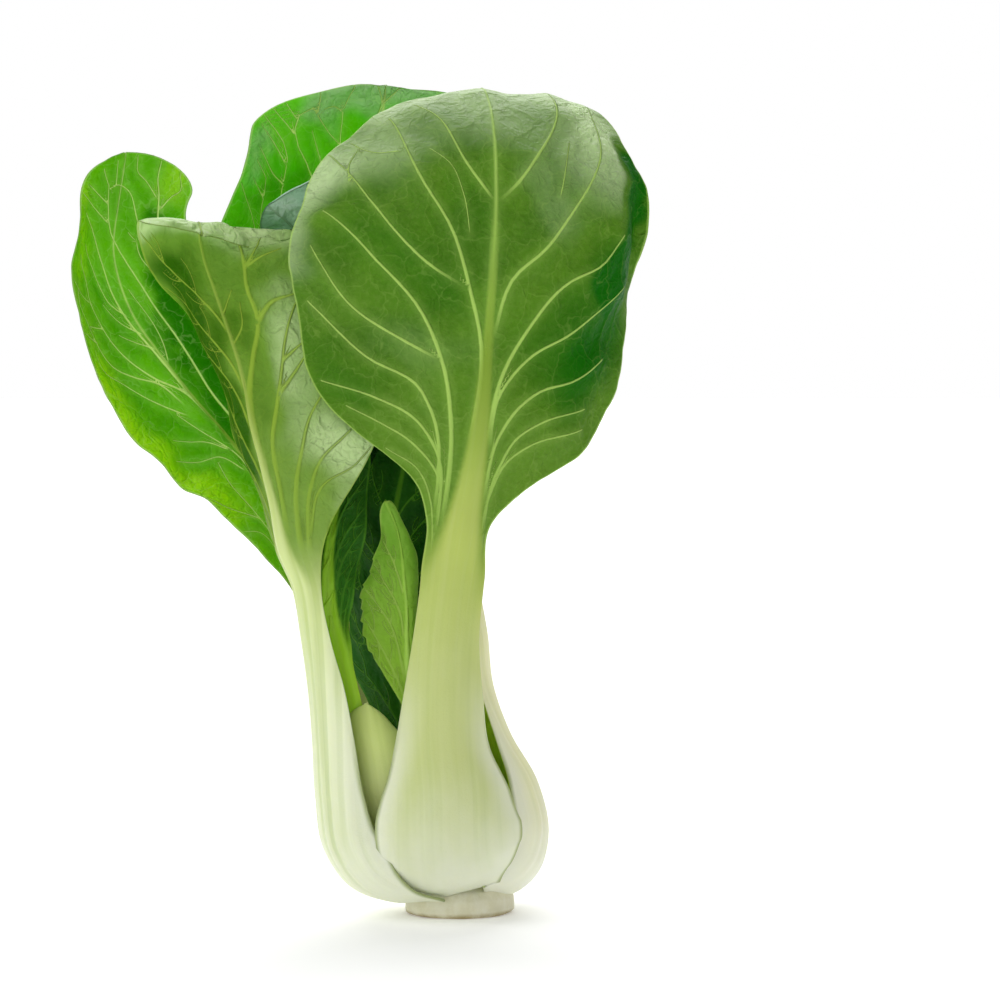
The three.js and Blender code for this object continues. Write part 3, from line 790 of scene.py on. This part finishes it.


# ---- colours

# Display colours from 0 to 255. foot, stalk, neck and rib follow one another up the stalk, and groove
# lies in its furrows. dark and blade mottle the blade, low is at its foot, the patches lay on a painted
# shade and a painted highlight, and glow is the light through it. net, lines, fibre, band and furrow
# are strengths, and pale_edge is how far in from its margins the stalk is pale, in millimetres.
FOOT = dict(foot=(232, 236, 212), groove=(160, 184, 84))
MID = dict(
    FOOT, dark=(78, 130, 12), blade=(100, 152, 26), low=(118, 162, 40), painted_shade=(16, 112, 0),
    painted_highlight=(228, 250, 190), vein=(206, 242, 124), glow=(120, 190, 10), stalk=(200, 210, 140),
    neck=(180, 196, 96), rib=(148, 178, 62), fibre=0.04, pale_edge=9.0, band=0.1, furrow=0.08,
    net=0.1, lines=0.85,
)
PALE = dict(
    MID, dark=(100, 150, 26), blade=(124, 172, 50), low=(150, 186, 84), painted_shade=(56, 112, 0),
    painted_highlight=(214, 240, 168), vein=(170, 204, 70), stalk=(230, 238, 196), neck=(212, 226, 154),
    rib=(176, 200, 90), band=0.3, furrow=0.28, fibre=0.12,
)
BRIGHT = dict(
    MID, dark=(106, 180, 4), blade=(134, 204, 8), low=(160, 212, 20), painted_shade=(36, 118, 4),
    painted_highlight=(196, 236, 10), vein=(240, 255, 176), glow=(140, 230, 0), lines=1.0, net=0.2,
)
BACK = dict(BRIGHT, painted_highlight=(196, 226, 180), dark=(110, 220, 12), blade=(134, 220, 16))
RIGHT = dict(MID, inside=(214, 255, 50), foot=(240, 242, 222), stalk=(250, 248, 200), neck=(240, 240, 180))
DARK = dict(
    MID, dark=(10, 80, 0), blade=(26, 106, 4), low=(40, 120, 10), vein=(110, 176, 50), net=0.05,
    glow=(60, 170, 0), stalk=(170, 200, 90), neck=(140, 184, 50), rib=(120, 176, 40), pale_edge=0.8,
)
LIGHT = dict(
    MID, dark=(118, 176, 40), blade=(136, 190, 58), low=(160, 204, 50), vein=(176, 212, 96),
    net=0.04, glow=(150, 220, 20), rib=(150, 196, 70), neck=(160, 200, 80), pale_edge=0.8,
)
# The curled leaf's dark low colour is painted shade, where its lower blade lies deep among the other leaves.
BLUE = dict(
    MID, dark=(186, 224, 202), blade=(238, 252, 240), painted_shade=(16, 66, 6), net=0.04, low=(24, 84, 8),
    stalk=(60, 120, 20), neck=(40, 100, 12), vein=(120, 164, 110), lines=0.5, glow=(150, 200, 150),
)
STRIP = dict(DARK, stalk=(170, 214, 50), neck=(160, 214, 40), rib=(150, 206, 40), lines=0.5)
SLIT = dict(DARK, foot=(236, 246, 150), stalk=(244, 255, 112), neck=(230, 250, 80), rib=(190, 230, 60))
HEART = dict(MID, foot=(236, 240, 196), stalk=(226, 234, 166), neck=(206, 222, 130))


# ---- the leaves themselves

left_leaf = Leaf(
    name="left_leaf", facing=200, neck=8, cap=3, thick=(6.6, 3.8), grid=(60, 200, 16, 60), tones=PALE,
    laterals=(7, 42, 22), sides=(-1,), waves=[(-1, 2.0, 38, 0.5), (1, 2.2, 44, 2.0)], rib_fade=15,
    grooves=0.08,
    veins=[
        (1.4, (0, 130), (1.5, 149), (4.5, 156), (8.5, 163), (8.5, 172), (10, 180), (9, 190)),
        (1.2, (8.5, 163), (13.5, 166), (19, 166)), (0.5, (10, 177), (13, 180), (15, 184)),
        (0.5, (10, 177), (15, 178), (19, 178)),
        (1.3, (3, 108), (4, 122), (4.5, 133), (8, 143), (10, 148), (13.5, 155), (19, 163)),
        (0.7, (12, 152), (18.5, 154)), (0.9, (9, 145), (13.5, 148), (18, 151)),
        (1.3, (6, 104), (9, 122), (12, 130), (16, 138), (20, 142)),
        (1.1, (8, 104), (12.5, 120), (16.5, 127), (24.5, 132)),
        (0.6, (9, 108), (16.5, 121), (24.5, 124), (28.5, 127)), (0.4, (0, 168), (3.5, 172)),
        (0.4, (0, 160), (4, 164), (5, 168)), (0.5, (6, 92), (12, 102), (20, 110), (28, 114)),
    ],
    patches=[
        (0.4, 8, (8, 150), (13, 160), (16, 167)), (0.45, 12, (13, 138), (16, 146), (18, 154)),
        (0.9, 11, (23, 130), (27, 122), (27, 112)), (1, 7, (-14, 193), (10, 194), (32, 193)),
        (-1.2, 8, (-9, 182), (-9, 150), (-6, 130)), (-0.5, 6, (4, 140), (6, 150), (4, 165)),
        (0.6, 8, (8, 187), (16, 185), (24, 182)),
    ],
    rows=[
        [-8, -3, 4, 8, 1, 13, 1.5], [-18, -7, 4, 12, 6, 16, 6], [-27, -10, 8, 15, 11, 16.5, 11],
        [-33, -11, 17, 17, 13, 14.5, 12], [-35, -11.5, 30, 15, 10, 13, 10],
        [-35.8, -12, 44, 11.5, 7, 11.5, 8.5], [-36.8, -12.5, 57, 9, 5, 10, 7, 2],
        [-38.2, -13, 69, 7.5, 4, 7.8, 5, 6], [-40, -13.5, 82, 7, 3.5, 7.5, 4, 12],
        [-43, -13.5, 93, 9, 5, 12, 6, 22], [-46, -13, 104, 11, 8, 21, 11, 32],
        [-49, -12, 118, 13, 12, 32, 11, 42], [-52.5, -10, 133, 14, 15, 38, 10, 48],
        [-57, -7.5, 147, 14, 14, 35, 4, 54], [-60.5, -6, 157, 14, 9, 31, 0, 58],
        [-62.8, -6, 163.5, 14.5, 5, 29, -1, 62], [-63.8, -6.5, 168.3, 14.8, 3, 28, -1, 66],
        [-64, -8.6, 171.8, 14.5, 2, 27, 0, 73], [-63, -13.2, 169.4, 12, 1, 26, 2, 60],
    ],
)
right_leaf = Leaf(
    name="right_leaf", facing=352, neck=8, cap=18, thick=(9, 5.2), grid=(50, 140, 14, 48), tones=RIGHT,
    laterals=(6, 38, 20), waves=[(-1, 2.0, 40, 0.0), (1, 2.5, 46, 1.0)],
    rows=[
        [7, -2, 4, 13, 1.5, 8, 1], [14, -2, 5, 13.5, 6, 12, 6], [20, -1, 10, 14, 8, 15, 11],
        [22.7, 1, 19, 15.5, 8.5, 17, 13], [20.2, 3, 32, 14.7, 7.3, 14, 9], [12.9, 5, 45, 11.3, 3.9, 11, 7],
        [8.7, 6, 57, 8.6, 3.4, 9, 5], [7.4, 7, 69, 7.5, 3.5, 7.5, 4], [5.4, 9, 81, 7, 3.5, 7, 3.5],
        [4.8, 12, 93, 7.5, 4, 7.5, 4], [8.5, 15, 104, 11, 7, 12, 7, 6], [15, 17, 117, 17, 13, 15, 7, 12],
        [23, 18, 132, 20, 14, 19, 7, 16], [29, 17, 149, 20, 14, 20, 6, 18],
        [32, 17, 166, 19, 12, 20, 6, 18], [32, 15.5, 181, 15, 8, 17, 6, 18],
        [29, 13.5, 191, 11, 5, 12, 4, 18],
    ],
)
back_leaf = Leaf(
    name="back_leaf", facing=97, neck=8, cap=11, thick=(7, 4), grid=(55, 165, 16, 58), tones=BACK,
    laterals=(8, 45, 20), sides=(-1,), waves=[(-1, 2.5, 34, 0.0), (1, 2.5, 30, 1.0)], rib=0.25, rib_fade=15,
    translucent=0.5,
    veins=[
        (0.6, (1, 130), (5, 160), (8, 182), (11, 204), (10.5, 209), (10.5, 213), (8, 219)),
        (0.3, (11, 212), (13.5, 213.5), (16, 213)),
        (0.6, (2, 120), (8, 150), (14, 180), (19, 195), (21.5, 200), (24, 204), (24.5, 207), (23.5, 211),
            (22, 213), (19.5, 213.5), (18, 212), (16.5, 209), (14, 206), (11, 203)),
        (0.35, (24.5, 206), (27.5, 210), (30, 213)), (0.3, (23.5, 210), (27, 215)),
        (0.35, (18, 212), (17.5, 219)), (0.35, (16, 197), (19, 206)),
        (0.6, (3, 112), (14, 145), (24, 172), (28.5, 188), (27.5, 195), (27, 202), (28.5, 205),
            (32.5, 211)),
        (0.35, (27.5, 199), (31, 204), (33.5, 208)), (0.35, (27.5, 194), (31.5, 197), (35, 202)),
        (0.5, (4, 108), (18, 135), (30, 165), (34.5, 188), (33.5, 193), (33.5, 196), (36, 199)),
        (0.3, (34, 191), (37, 195)),
        (0.4, (5, 104), (22, 130), (34, 165), (38, 188), (39.5, 191), (41, 194)),
        (0.5, (0, 180), (-1, 198), (1, 211), (0.5, 215), (2, 219)), (0.35, (0.5, 214), (-4, 219)),
    ],
    patches=[
        (1, 9, (16, 214), (10, 217), (2, 217), (-10, 219)), (0.6, 5, (34, 206), (37, 201), (38, 196)),
        (-0.4, 7, (20, 196), (28, 193), (36, 191)),
    ],
    rows=[
        [0, 8, 4, 12, 1, 12, 1], [0, 17, 5, 15, 6, 15, 6], [-1, 24, 11, 17, 11, 17, 11],
        [-2, 26.5, 22, 16.5, 11, 16.5, 11], [-3.5, 26.5, 34, 14, 9, 14, 9], [-5.5, 25.5, 48, 11, 6, 11, 6],
        [-8, 25, 64, 8.5, 4.5, 8.5, 4.5], [-9.5, 26, 82, 7.5, 3.5, 7.5, 3.5], [-11, 28, 97, 9, 4, 9, 4],
        [-13, 31, 112, 17, 5, 19, 5], [-15, 34, 130, 28, 6, 31, 8], [-18, 36, 150, 34, 7, 47, 10],
        [-20, 37, 170, 36, 6, 47, 10], [-20.5, 36, 187, 36, 4, 40.5, 8], [-20, 34, 200.6, 36, 2, 36, 5],
        [-19, 31, 208.6, 34, 1, 32, 3],
    ],
)
front_leaf = Leaf(
    name="front_leaf", facing=268, neck=8, cap=24, thick=(8, 4.6), grid=(70, 215, 24, 77), tones=MID,
    waves=[(-1, 0.7, 52, 0.0), (1, 0.5, 46, 1.0)],
    rolls=[(1, 140, 172, 232, 45, 0.6, 0.8), (1, 158, 180, 205, -100, 0.9, 1.0)], rib=0.4, rib_fade=31,
    grooves=0.012, fibres=0.06,
    veins=[
        (0.5, (0, 180), (-7, 191), (-13, 206), (-18, 215)),
        (0.8, (-2, 118), (-2, 148), (-5, 158), (-9, 170), (-19, 189), (-25, 211)),
        (0.5, (-6, 159), (-15, 164), (-24, 172), (-36, 191), (-42, 202)),
        (0.9, (-5, 98), (-7, 126), (-10, 139), (-17, 153), (-30, 166), (-42, 178)),
        (0.5, (-11, 141), (-20, 145), (-35, 153), (-45, 167)),
        (0.7, (-7, 100), (-12, 128), (-16, 134), (-29, 140), (-45, 152)),
        (0.7, (-6, 96), (-10, 119), (-15, 125), (-27, 130), (-39, 132)),
        (0.6, (-6, 92), (-9, 113), (-17, 120), (-24, 123), (-32, 126)),
        (0.5, (-6, 92), (-9, 105), (-14, 113), (-21, 116)),
        (0.6, (0, 180), (5, 185), (11, 194), (16, 205), (16, 226)),
        (0.6, (1, 146), (5, 162), (13, 170), (19, 179), (27, 195), (26, 217)),
        (0.8, (2, 118), (4, 138), (8, 147), (19, 162), (29, 168), (34, 175)),
        (0.6, (3, 118), (4, 134), (12, 144), (20, 149), (30, 156), (38, 162)),
        (0.7, (4, 104), (5, 124), (9, 131), (14, 135), (23, 138), (32, 143)),
        (0.6, (5, 98), (6, 116), (9, 123), (16, 128), (27, 131)),
        (0.5, (6, 92), (5, 108), (8, 118), (13, 122), (27, 126)),
        (0.35, (-23, 196), (-29, 197), (-33, 200), (-35, 203)), (0.35, (-36, 188), (-36, 194), (-34, 199)),
        (0.25, (16, 183), (17, 188), (19, 198)), (0.2, (-6, 172), (-8, 183), (-11, 191), (-15, 195)),
    ],
    patches=[
        (0.45, 28, (-44, 198), (-30, 209), (-12, 215), (6, 216), (22, 211), (32, 199)),
        (0.35, 11, (-30, 220), (-10, 226), (8, 227), (22, 218), (31, 206)),
        (0.15, 16, (27, 202), (29, 190)), (0.45, 11, (-53, 164), (-51, 180), (-44, 194)),
        (0.2, 7, (9, 187), (14, 181), (17, 175)), (0.15, 14, (-24, 139), (-14, 143)),
        (-1.6, 8, (40, 204), (42, 194), (43, 186), (42, 177), (39, 169), (34, 163)),
        (-0.6, 16, (38, 170), (33, 160), (26, 152), (18, 145)), (-0.5, 12, (38, 152), (31, 143), (25, 136)),
        (-0.5, 12, (-38, 136), (-30, 131)), (-0.4, 14, (-36, 172), (-26, 168), (-14, 160)),
        (-0.3, 10, (-8, 186), (-6, 176)),
    ],
    rows=[
        [2, -13, 7, 8.5, 0, 9, 0], [0, -20, 9.5, 13.6, 2.3, 14, 2.3],
        [-1, -26.5, 14.8, 17.3, 5.6, 17.4, 5.6], [-1.5, -29.5, 23.5, 18, 7.8, 18.1, 7.8],
        [-1.7, -29.5, 33, 16.3, 7.5, 15.4, 7.5], [-2.6, -28, 44, 12.6, 6, 11.2, 6],
        [-3, -26.5, 57, 9.8, 4.5, 9.8, 4.5], [-2.4, -25.5, 70, 8.2, 3.5, 8.2, 3.5],
        [-0.6, -25.5, 86, 8, 2.5, 7.6, 2.5], [1.5, -26.5, 99, 9.5, 2, 6.9, 2],
        [3.3, -27.8, 108, 15.5, 3, 13.3, 4], [4.8, -29, 117, 30.2, 6, 26, 9],
        [6.3, -30.5, 129, 41.3, 10, 32, 17], [7.7, -31.5, 145, 46, 13, 36.5, 22],
        [8.9, -31.5, 162, 49, 14, 44.5, 22], [9.6, -29, 178, 46.8, 13, 46, 20],
        [9.2, -23, 191, 43.6, 10, 43, 15], [8, -13, 201.5, 33, 7, 36, 10], [6, -1, 206, 23.5, 4, 29, 6],
        [4, 9, 204.5, 17, 2, 20, 4],
    ],
)
left_back_leaf = Leaf(
    name="left_back_leaf", facing=140, neck=7, cap=8, thick=(6, 3.4), grid=(50, 185, 14, 56), tones=BRIGHT,
    waves=[(-1, 1.0, 30, 0.0), (1, 0.9, 26, 1.0)], rib=0.25, rib_fade=15, translucent=0.5,
    veins=[
        (0.7, (0, 146), (0.5, 161), (1, 168), (2, 176), (3, 183), (3.5, 190), (6.5, 198), (10, 202)),
        (0.7, (-3, 112), (-4, 128), (-4.5, 146), (-6, 158), (-6.5, 169), (-5.5, 181), (-2, 192),
            (1.5, 199), (3, 205), (3.5, 209), (6, 213)),
        (0.8, (-4, 105), (-8, 128), (-9.5, 139), (-11.5, 149), (-13, 160), (-14.5, 177), (-14, 190)),
        (0.4, (-14, 188), (-8, 196), (-5.5, 196), (-4.5, 197)),
        (0.4, (-8, 195), (-5.5, 202), (-2, 209), (0.5, 210), (3, 209)),
        (0.3, (-6, 196), (-7, 190), (-10, 183), (-12.5, 173)), (0.3, (1.5, 210), (2, 215)),
        (0.35, (3, 205), (9.5, 209)), (0.35, (2, 200), (11.5, 207)),
        (0.6, (0, 140), (1, 152), (5, 159), (7.5, 165), (9.5, 173), (10.5, 178), (11.5, 183),
            (10.5, 187), (11, 192)),
        (0.3, (11, 182), (14.5, 185), (16, 188)), (0.3, (10, 176), (16, 178)),
        (0.5, (3, 148), (5.5, 158), (9.5, 162), (13.5, 167), (15.5, 175), (16, 178), (17.5, 183),
            (16, 186)),
        (0.3, (15, 174), (21, 178)), (0.35, (1.5, 176), (5, 181), (6, 185), (7, 190), (8.5, 194)),
        (0.3, (0.5, 170), (4.5, 176), (6.5, 180)), (0.3, (0, 165), (5.5, 172)),
        (0.3, (-0.5, 160), (-2.5, 165), (-3.5, 171), (-3, 177), (-2, 181)),
        (0.6, (-12, 192), (-11, 203), (-10.5, 209), (-9.5, 213), (-9.5, 217)),
        (0.3, (-10, 208), (-6.5, 212), (-4, 214), (-3.5, 217)),
        (0.35, (-11.5, 205), (-14, 209), (-16, 211), (-15, 215)),
        (0.4, (4, 146), (10.5, 156), (14, 162), (18.5, 169), (18, 172)),
        (0.5, (0, 112), (1, 120), (1, 130), (4.5, 141), (6.5, 148)),
        (0.35, (2, 126), (5.5, 133), (11, 135), (16, 138)),
        (0.35, (2, 133), (5.5, 138), (9.5, 141), (12, 143)),
        (0.5, (2, 90), (5, 104), (7, 115), (8, 126), (7, 131)), (0.35, (6, 112), (15, 120), (18, 124)),
        (0.4, (3, 86), (6, 101), (9, 109), (14, 111)),
        (0.5, (-4, 105), (-11, 130), (-17, 150), (-21, 168), (-21, 190)),
    ],
    patches=[
        (0.6, 6, (13, 207), (12, 200), (10, 194)), (0.6, 6, (-14, 216), (-14, 211)),
        (1, 11, (24, 168), (24, 152), (22, 136), (14, 122)), (0.4, 10, (16, 186), (16, 174)),
        (-1, 6, (-12, 201), (-11, 180), (-9, 160), (-7, 140), (-5, 122)),
        (-0.6, 5, (-3, 168), (-2, 150), (-1, 130)),
    ],
    rows=[
        [-6, 6, 5, 9, 2, 9, 2], [-15, 12, 6, 13, 7, 13, 7], [-22, 16, 13, 15, 10, 15, 10],
        [-25, 18, 24, 14, 9, 14, 9], [-27, 19, 38, 12, 7, 11, 7], [-29, 20, 52, 9, 5, 9, 5],
        [-32, 21, 64, 7.5, 3.5, 7.5, 3.5], [-35.5, 22, 75, 7.5, 2.5, 8, 2.5, -6],
        [-40, 24, 87, 11, 1, 10.5, 3, -16], [-46, 26, 99, 17, 0, 14, 4, -22],
        [-53, 28, 110, 24, 0, 18, 5, -26], [-61, 29, 120, 29, 0, 20.5, 6, -28],
        [-69, 30, 129, 32, 1, 22, 7, -28], [-77.5, 30, 140, 33, 2, 21, 8, -28],
        [-85, 29.5, 152, 31, 3, 18, 8, -28], [-88.5, 28, 165, 23, 6, 14, 7, -28],
        [-87.5, 26, 177, 16.5, 8, 12, 5, -28], [-85, 24, 191, 18.5, 8, 10.5, 3, -28],
    ],
)
right_back_leaf = Leaf(
    name="right_back_leaf", facing=48, neck=8, cap=16, thick=(8.5, 5), grid=(50, 130, 14, 46), tones=BRIGHT,
    laterals=(7, 40, 20), waves=[(-1, 2.5, 36, 0.0), (1, 2.5, 40, 1.0)],
    rows=[
        [6, 7, 5, 9, 2, 9, 2], [12, 14, 7, 13, 7, 13, 7], [15, 19, 15, 15, 10, 15, 10],
        [14.5, 21.5, 25, 14, 9, 14, 9], [9.5, 22, 37, 10.5, 7, 10.5, 7], [4.3, 22.5, 50, 8, 5, 6, 5],
        [1.6, 23, 65, 7.2, 4, 5, 4], [2, 25, 80, 5.5, 3, 4.5, 3], [4.2, 28, 95, 6.3, 3, 5.5, 3],
        [9, 33, 110, 14, 5, 12, 5], [16, 39, 127, 20, 8, 19, 7], [22, 44, 145, 22, 10, 26, 8],
        [26, 48, 163, 21, 9, 25, 8], [28, 50, 178, 17, 7, 20, 6], [27, 52, 189, 13, 4, 15, 4],
    ],
)
right_inner_leaf = Leaf(
    name="right_inner_leaf", facing=300, neck=5, cap=10, thick=(8, 3.6), grid=(36, 100, 10, 25), tones=SLIT,
    inner=True, laterals=(6, 24, 12), waves=[(-1, 1.2, 18, 0.0), (1, 1.2, 21, 1.0)],
    rows=[
        [4, -4, 12, 5, 1, 5, 1], [8, -9, 15, 6, 2.5, 6, 2.5], [7.6, -12.5, 26, 6, 2.5, 6, 2.5],
        [5, -13, 38, 5.5, 2, 5, 2], [2.4, -12.5, 50, 5, 2, 4.5, 2], [1.5, -11.5, 63, 4.5, 1, 4.5, 1],
        [0, -11, 76, 4.5, 1, 4.5, 1], [0.5, -10, 90, 5, 1.5, 5, 1.5], [3.5, -9, 104, 8, 2, 5, 2],
        [8, -8, 118, 12, 3, 9, 3], [10, -9, 133, 14, 4, 14, 4], [11, -10, 147, 10, 2, 10, 2],
    ],
)
left_inner_leaf = Leaf(
    name="left_inner_leaf", facing=205, neck=5, cap=10, thick=(3, 2), grid=(36, 90, 10, 25), tones=STRIP,
    inner=True, laterals=(6, 20, 12), waves=[(-1, 1.2, 18, 0.0), (1, 1.2, 16, 1.0)],
    rows=[
        [-6, 0, 11, 4, 1, 4, 1], [-14, -1, 14, 5, 2, 5, 2], [-21, -7, 24, 3.5, 1.5, 3.5, 1.5],
        [-24, -11, 38, 3, 1, 3, 1, 10], [-26.5, -13, 52, 3, 1, 3, 1, 20], [-29, -13, 64, 3, 1, 3, 1, 35],
        [-31.5, -12, 76, 3.5, 1, 5, 1, 45], [-32, -11.5, 88, 4, 1, 8, 1, 50],
        [-30.5, -9, 100, 5, 1, 8, 1, 50], [-28, -6, 112, 5, 1, 6, 1, 50], [-26, -3, 122, 4, 1, 4, 1, 50],
    ],
)
pale_inner_leaf = Leaf(
    name="pale_inner_leaf", facing=255, neck=5, cap=4, thick=(5, 3), grid=(60, 60, 12, 32), tones=HEART,
    inner=True, proud=0.0, grooves=0.01, fibres=0.05,
    rows=[
        [-4, -4, 11.5, 5, 1, 5, 1], [-10, -11, 13.5, 7, 2.5, 7, 2.5], [-15.5, -16, 20, 9, 4, 8, 4],
        [-18.5, -18, 30, 9.5, 5, 8, 4.5], [-20, -18.3, 40, 10, 5.5, 8.5, 4.5],
        [-21.5, -17.5, 48, 9, 5, 5, 4], [-22.5, -15.5, 54, 7, 3, 2.2, 3],
    ],
)
folded_leaf = Leaf(
    name="folded_leaf", facing=248, neck=3, cap=2, thick=(3.6, 2), grid=(36, 110, 12, 40), tones=LIGHT,
    inner=True, laterals=(6, 20, 12), sides=(-1,), waves=[(-1, 0.5, 12, 0.0)],
    teeth=[(-1, 1.0, 3.4, 56, 88)], rib_fade=12,
    rows=[
        [-1, -6, 12.5, 3.5, 1, 3.5, 1], [-3, -14, 17, 4, 1.5, 4, 1.5], [-6, -18.5, 29, 4, 1.5, 4, 1.5],
        [-9, -19.5, 43, 3.2, 1, 3, 1.5], [-11.3, -19.5, 55, 3.5, 0.5, 2, 2.5],
        [-12, -19.5, 62, 7.5, 0.5, 2, 3], [-12.4, -19.5, 69, 11.5, 1, 2, 3],
        [-12.6, -19.5, 77, 13.6, 1.5, 2, 3], [-12.9, -19, 85, 11.8, 1.5, 2, 3],
        [-13.8, -18.5, 92.5, 8.2, 1, 2, 2.5], [-15.4, -17.5, 99, 4.6, 0.5, 1.2, 1.5],
        [-17.5, -16.5, 104, 1.2, 0, 0.6, 0.5],
    ],
)
dark_inner_leaf = Leaf(
    name="dark_inner_leaf", facing=245, neck=2, cap=12, thick=(4.2, 2.2), grid=(30, 95, 12, 32), tones=DARK,
    inner=True, laterals=(6, 26, 14), waves=[(-1, 1.5, 22, 0.0), (1, 1.5, 20, 1.0)],
    rows=[
        [-1, -1, 13, 3.5, 1, 3.5, 1], [-6, -3, 19, 4.5, 1.5, 4.5, 1.5], [-8.5, -4, 32, 8, 1.5, 5, 1.5],
        [-10.5, -4, 46, 12, 2, 6, 1], [-13, -4, 60, 16.5, 3, 8, 1.5], [-15.5, -3.5, 73, 17.5, 4, 10, 3],
        [-16, -3, 87, 16, 4, 12, 4], [-15.5, -2, 101, 16, 4, 13, 4], [-13, -1, 115, 14, 4, 12, 3],
        [-11, 0, 129, 8, 2, 8, 2],
    ],
)
curled_leaf = Leaf(
    name="curled_leaf", facing=225, neck=5, cap=3, thick=(4.5, 2.6), grid=(34, 120, 14, 40), tones=BLUE,
    inner=True, laterals=(6, 28, 14), waves=[(-1, 1.5, 24, 0.0), (1, 1.8, 20, 1.0)], crinkle=1.6,
    leather=1.5,
    # painted shade over the lower blade, deep among the other leaves
    patches=[
        (-2, 20, (6, 84), (6, 118)),
    ],
    rows=[
        [-2, 3, 12, 4, 1, 4, 1], [-7, 4, 19, 5.5, 2, 5.5, 2], [-10, 4.5, 32, 6, 2, 6, 2],
        [-12, 5, 48, 5.5, 1.5, 5.5, 1.5], [-15, 7.5, 65, 5, 1.5, 5, 1.5],
        [-19, 9.5, 83, 5.5, 1.5, 5.5, 1.5], [-25, 11, 100, 9, 3, 11, 3, 10],
        [-30, 11, 118, 9, 5, 17, 5, 15], [-33, 8.5, 136, 9.5, 6, 20, 6, 20],
        [-34.5, 5, 153, 11, 5, 19, 5, 20], [-36, 3, 164, 15, 4, 19, 3, 20],
        [-41, 0, 171.5, 11.5, 2, 19, 1, 20], [-47, -3, 177, 3, 0, 19, 0, 20],
    ],
)

LEAVES = [
    left_leaf, right_leaf, back_leaf, front_leaf, left_back_leaf, right_back_leaf, right_inner_leaf,
    left_inner_leaf, pale_inner_leaf, folded_leaf, dark_inner_leaf, curled_leaf,
]

# ---- the cut stem

# Its outline from the middle of the cut to the growing point, as radius and height.
STEM_OUTLINE = [
    (0.0, 0.0), (6.0, 0.0), (12.3, 0.0), (13.2, 0.35), (13.6, 1.2), (13.4, 4.2), (12.4, 6.4),
    (10.5, 8.2), (7.0, 12.4), (3.4, 17.0), (0.0, 18.0),
]
# The lumps round it: how many, their height and their phase.
STEM_LUMPS = ((2, 0.25, 0.4), (3, 0.3, 1.9), (5, 0.22, 0.7), (9, 0.12, 2.2), (17, 0.07, 4.0))
STEM_RINGS = 90
STEM_SIDES = 200


def build_stem():
    """A short round stump: flat cut foot, rough rounded rim, narrowing inside the head."""
    radii, heights = np.array(STEM_OUTLINE).T
    knots = np.concatenate([[0], np.cumsum(np.hypot(np.diff(radii), np.diff(heights)))])
    at = np.linspace(0, knots[-1], STEM_RINGS)
    r = np.interp(at, knots, radii)
    z = np.interp(at, knots, heights)
    turn = 2 * np.pi * np.arange(STEM_SIDES) / STEM_SIDES
    lumps = sum(size * np.sin(count * turn + phase) for count, size, phase in STEM_LUMPS)
    side = smooth(0.0, 1.0, z) * smooth(14, 6, z)
    radius = r[:, None] + lumps[None, :] * side[:, None]
    radius[0] = radius[-1] = 0.02
    up = np.repeat(z[:, None], STEM_SIDES, axis=1)
    vertices = np.stack([radius * np.cos(turn), radius * np.sin(turn), up], -1).reshape(-1, 3) * MM
    index = np.arange(STEM_RINGS * STEM_SIDES).reshape(STEM_RINGS, STEM_SIDES)
    ahead = np.roll(index, -1, axis=1)
    faces = np.stack([index[:-1], ahead[:-1], ahead[1:], index[1:]], -1).reshape(-1, 4).tolist()
    faces += [index[0][::-1].tolist(), index[-1].tolist()]
    mesh = bpy.data.meshes.new("cut_stem")
    mesh.from_pydata(vertices.tolist(), [], faces)
    mesh.update()
    mesh.shade_smooth()
    mesh.materials.append(stem_material())
    return add_object("cut_stem", mesh)


# ---- the head

FIRST_SEED = 11

stem_piece = build_stem()
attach(stem_piece, "root")
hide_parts("cut_stem")
for seed, leaf in enumerate(LEAVES, FIRST_SEED):
    piece = build_leaf(leaf, seed)
    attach(piece, "root")
    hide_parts(leaf.name)

# ---- studio

WHITE = (1, 1, 1, 1)
FLOOR_REACH = 6


def build_floor():
    r = FLOOR_REACH
    mesh = bpy.data.meshes.new("floor")
    mesh.from_pydata([(-r, -r, 0), (r, -r, 0), (r, r, 0), (-r, r, 0)], [], [(0, 1, 2, 3)])
    paper = Shader("paper")
    skin = paper.node(
        "BsdfPrincipled",
        {
            "Base Color": (0.93, 0.93, 0.93, 1),
            "Roughness": 0.9,
            "Emission Color": WHITE,
            "Emission Strength": 0.2,
        },
    ).outputs[0]
    paper.node("OutputMaterial", {"Surface": skin})
    mesh.materials.append(paper.material)
    return add_object("floor", mesh)


def build_world():
    """A white backdrop to the camera, and a weaker white light on everything else."""
    world = bpy.data.worlds.new("world")
    world.use_nodes = True
    sky = world.node_tree
    surround = sky.nodes["Background"]
    surround.inputs["Color"].default_value = WHITE
    surround.inputs["Strength"].default_value = 0.4
    backdrop = sky.nodes.new("ShaderNodeBackground")
    backdrop.inputs["Color"].default_value = WHITE
    seen = sky.nodes.new("ShaderNodeLightPath")
    both = sky.nodes.new("ShaderNodeMixShader")
    sky.links.new(seen.outputs["Is Camera Ray"], both.inputs[0])
    sky.links.new(surround.outputs[0], both.inputs[1])
    sky.links.new(backdrop.outputs[0], both.inputs[2])
    sky.links.new(both.outputs[0], sky.nodes["World Output"].inputs["Surface"])
    return world


def broad_light(name, towards, strength, spread):
    """A soft light from far off, shining from the direction towards, spread over so many degrees."""
    lamp = bpy.data.lights.new(name, "SUN")
    lamp.energy = strength
    lamp.angle = math.radians(spread)
    made = add_object(name, lamp)
    made.rotation_mode = "QUATERNION"
    made.rotation_quaternion = Vector(towards).to_track_quat("Z", "Y")


build_floor()
bpy.context.scene.world = build_world()
broad_light("key", (-0.6, -0.55, 0.75), 1.0, 60)
broad_light("back", (-0.05, 0.7, 0.75), 2.3, 60)
bpy.context.scene.view_settings.view_transform = "Standard"
